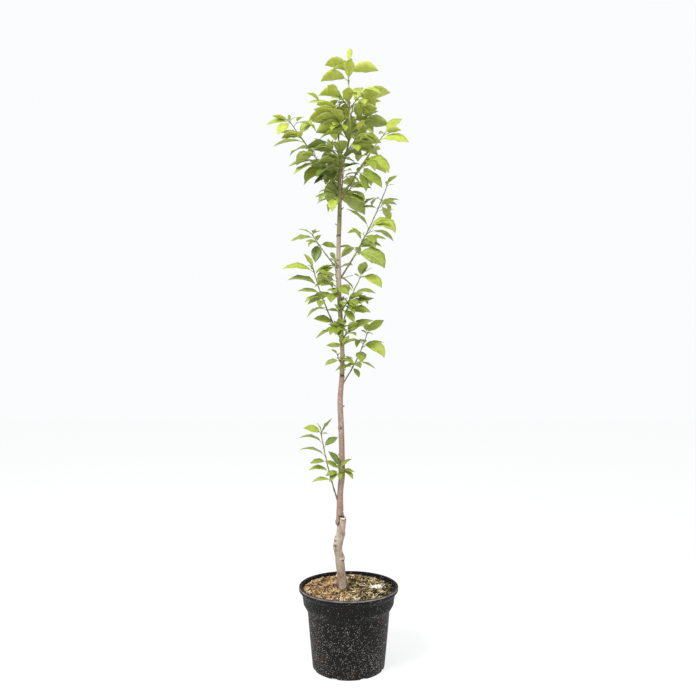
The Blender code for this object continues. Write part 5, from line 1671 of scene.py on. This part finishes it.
def makeLeaves():
    chance = random.Random(leafMake["seed"])
    pattern = leafPattern()
    shapes = {tone: [] for tone in leafColours}
    stalks = []
    leaves = list(tuftsGrown)
    for grown in shoots:
        leaves += grown["leaves"] + grown["finerLeaves"] + youngLeaves(grown, chance)
    for leaf in leaves:
        shapes[leafTone(leaf, chance)].append(shapeLeaf(leaf, pattern, chance))
        stalk = leaf["length"] * rule["stalkShare"]
        steps = [stalk * share for share in leafMake["stalkSteps"]]
        steps.append(stalk + leaf["length"] * leafMake["stalkOn"])
        width = min(leafMake["stalkWidest"], leaf["length"] * leafMake["stalkWidth"])
        line = [leafLine(leaf, step)[0] for step in steps]
        stalks.append((line, [width * share for share in leafMake["stalkWidths"]]))
    for tone, made in shapes.items():
        piece = copies("leaves_" + tone, pattern, made)
        upper, under, veins = leafColours[tone]
        above, below = leafMake["gloss"]
        underVeins = tuple(part * leafMake["paleVeins"] for part in under)
        dress(piece, "leaf_green", [leafFinish("leaf_" + tone, upper, veins, above),
                                    leafFinish("leaf_under_" + tone, under, underVeins, below, under=True)])
    bpy.data.objects.remove(pattern)
    dress(tubes("leaf_stalks", stalks, 1), "leaf_green", [limbFinishes["leaf_stalk_green"]], degrees=60.0)
    print("leaves:", {tone: len(made) for tone, made in shapes.items()})


makeLeaves()


# buds, flower buds and stubs
budMake = {
    "length": 0.0030,
    "width": 0.0016,
    "sizes": (0.7, 1.2),
    "lean": 0.7,              # how far it leans to its leaf
    "off": (0.0009, 0.0008),              # how far it stands off the leaf's foot, outwards and along the stem
    "tipSize": 1.3,           # a stem's last bud is larger
    "flowering": ("left_upper", "twin_leader"),
    "flowers": 5,             # at the tip of each of these stems
    "flowerSize": (0.0062, 0.0044),
    "flowerOut": 0.004,
    "flowerTurn": 20.0,
    "flowerLean": (0.9, 0.7),             # along the stem and outwards
    "clusters": (0.712, 0.452),           # heights of the tufts with many buds
    "tuftBuds": (3, 7),
    "tuftLength": (0.005, 0.008),
    "tuftWidth": 0.0034,
    "tuftFoot": (0.0006, 0.0008),         # how far in the bark it begins, and how far out its buds stand
    "tuftTurn": 75.0,         # how far they turn aside, rise and spread along the trunk
    "tuftRise": (-0.3, 1.2),
    "tuftSpread": 0.006,
    "seed": 5,
}
stubMake = {
    "sunk": 0.0012,
    "rise": 12.0,             # how much steeper a stub is at its tip
    "step": 0.0015,
    "taper": (1.25, 0.8),
}
stubs = (    # height, heading, length, diameter, slope
    (0.617, 355, 0.0040, 0.0030, 30.0), (1.112, 350, 0.0070, 0.0028, 40.0), (0.937, 350, 0.0300, 0.0016, 8.0),
    (1.072, 185, 0.0060, 0.0020, 30.0), (0.497, 170, 0.0030, 0.0024, 40.0), (0.742, 40, 0.0050, 0.0022, 40.0),
)


def budPattern():
    deselect()
    bpy.ops.mesh.primitive_uv_sphere_add(segments=7, ring_count=5, radius=0.5)
    bud = bpy.context.object
    for vertex in bud.data.vertices:
        narrow = 1.0 - max(vertex.co.z, 0.0) * 0.9
        vertex.co.x *= narrow
        vertex.co.y *= narrow
    return bud


def placed(pattern, place, direction, length, width):
    turn = direction.to_track_quat('Z', 'Y').to_matrix()
    return [place + turn @ Vector((vertex.co.x * width, vertex.co.y * width, (vertex.co.z + 0.4) * length))
            for vertex in pattern.data.vertices]


def makeBuds():
    chance = random.Random(budMake["seed"])
    pattern = budPattern()
    buds, flowers = [], []
    offOut, offAlong = budMake["off"]
    onward, outward = budMake["flowerLean"]
    for grown in shoots:
        _, along = alongPath(grown["stem"], 0.5)
        for leaf in grown["leaves"]:
            out = (along + headingVector(leaf["heading"]) * budMake["lean"]).normalized()
            size = chance.uniform(*budMake["sizes"])
            buds.append(placed(pattern, leaf["root"] + out * offOut + along * offAlong, out,
                               budMake["length"] * size, budMake["width"] * size))
        tip, along = alongPath(grown["stem"], 1.0)
        size = budMake["tipSize"]
        buds.append(placed(pattern, tip, along, budMake["length"] * size, budMake["width"] * size))
        if grown["shoot"]["name"] in budMake["flowering"]:
            for number in range(budMake["flowers"]):
                heading = number * 360.0 / budMake["flowers"] + budMake["flowerTurn"]
                out = (along * onward + headingVector(heading) * outward).normalized()
                flowers.append(placed(pattern, tip + out * budMake["flowerOut"], out, *budMake["flowerSize"]))
    up = Vector((0.0, 0.0, 1.0))
    few, many = budMake["tuftBuds"]
    turn, spread = budMake["tuftTurn"], budMake["tuftSpread"]
    inBark, tuftOut = budMake["tuftFoot"]
    for height, heading, _ in tufts:
        start = onTrunk(height, heading, inBark)
        for number in range(many if height in budMake["clusters"] else few):
            out = headingVector(heading + chance.uniform(-turn, turn))
            out += up * chance.uniform(*budMake["tuftRise"])
            place = start + up * chance.uniform(-spread, spread) + out.normalized() * tuftOut
            buds.append(placed(pattern, place, out.normalized(), chance.uniform(*budMake["tuftLength"]),
                               budMake["tuftWidth"]))
    dress(copies("axil_buds", pattern, buds), "leaf_green", [limbFinishes["bud_scales"]])
    dress(copies("flower_buds", pattern, flowers), "leaf_green", [limbFinishes["flower_bud_green"]])
    bpy.data.objects.remove(pattern)
    limbs = []
    sunk, (foot, tip) = stubMake["sunk"], stubMake["taper"]
    for height, heading, length, width, slope in stubs:
        slopes = (slope, slope + stubMake["rise"])
        line = risingPath(onTrunk(height, heading, sunk), heading, length + sunk, slopes)
        line = eased(line, stubMake["step"])
        limbs.append((line, limbRadii(line, width * foot, width * tip, [line[-1]])))
    dress(tubes("trunk_stubs", limbs, 2), "young_bark", [limbFinishes["bough_bark"]], degrees=60.0)
    print("buds:", len(buds), "flower buds:", len(flowers))


makeBuds()


# floor
deselect()
bpy.ops.mesh.primitive_plane_add(size=view["floorSize"], location=(0.0, 0.0, 0.0))
floor = bpy.context.object
floor.name = "floor"
settle(floor)
paint(floor, floorFinish())
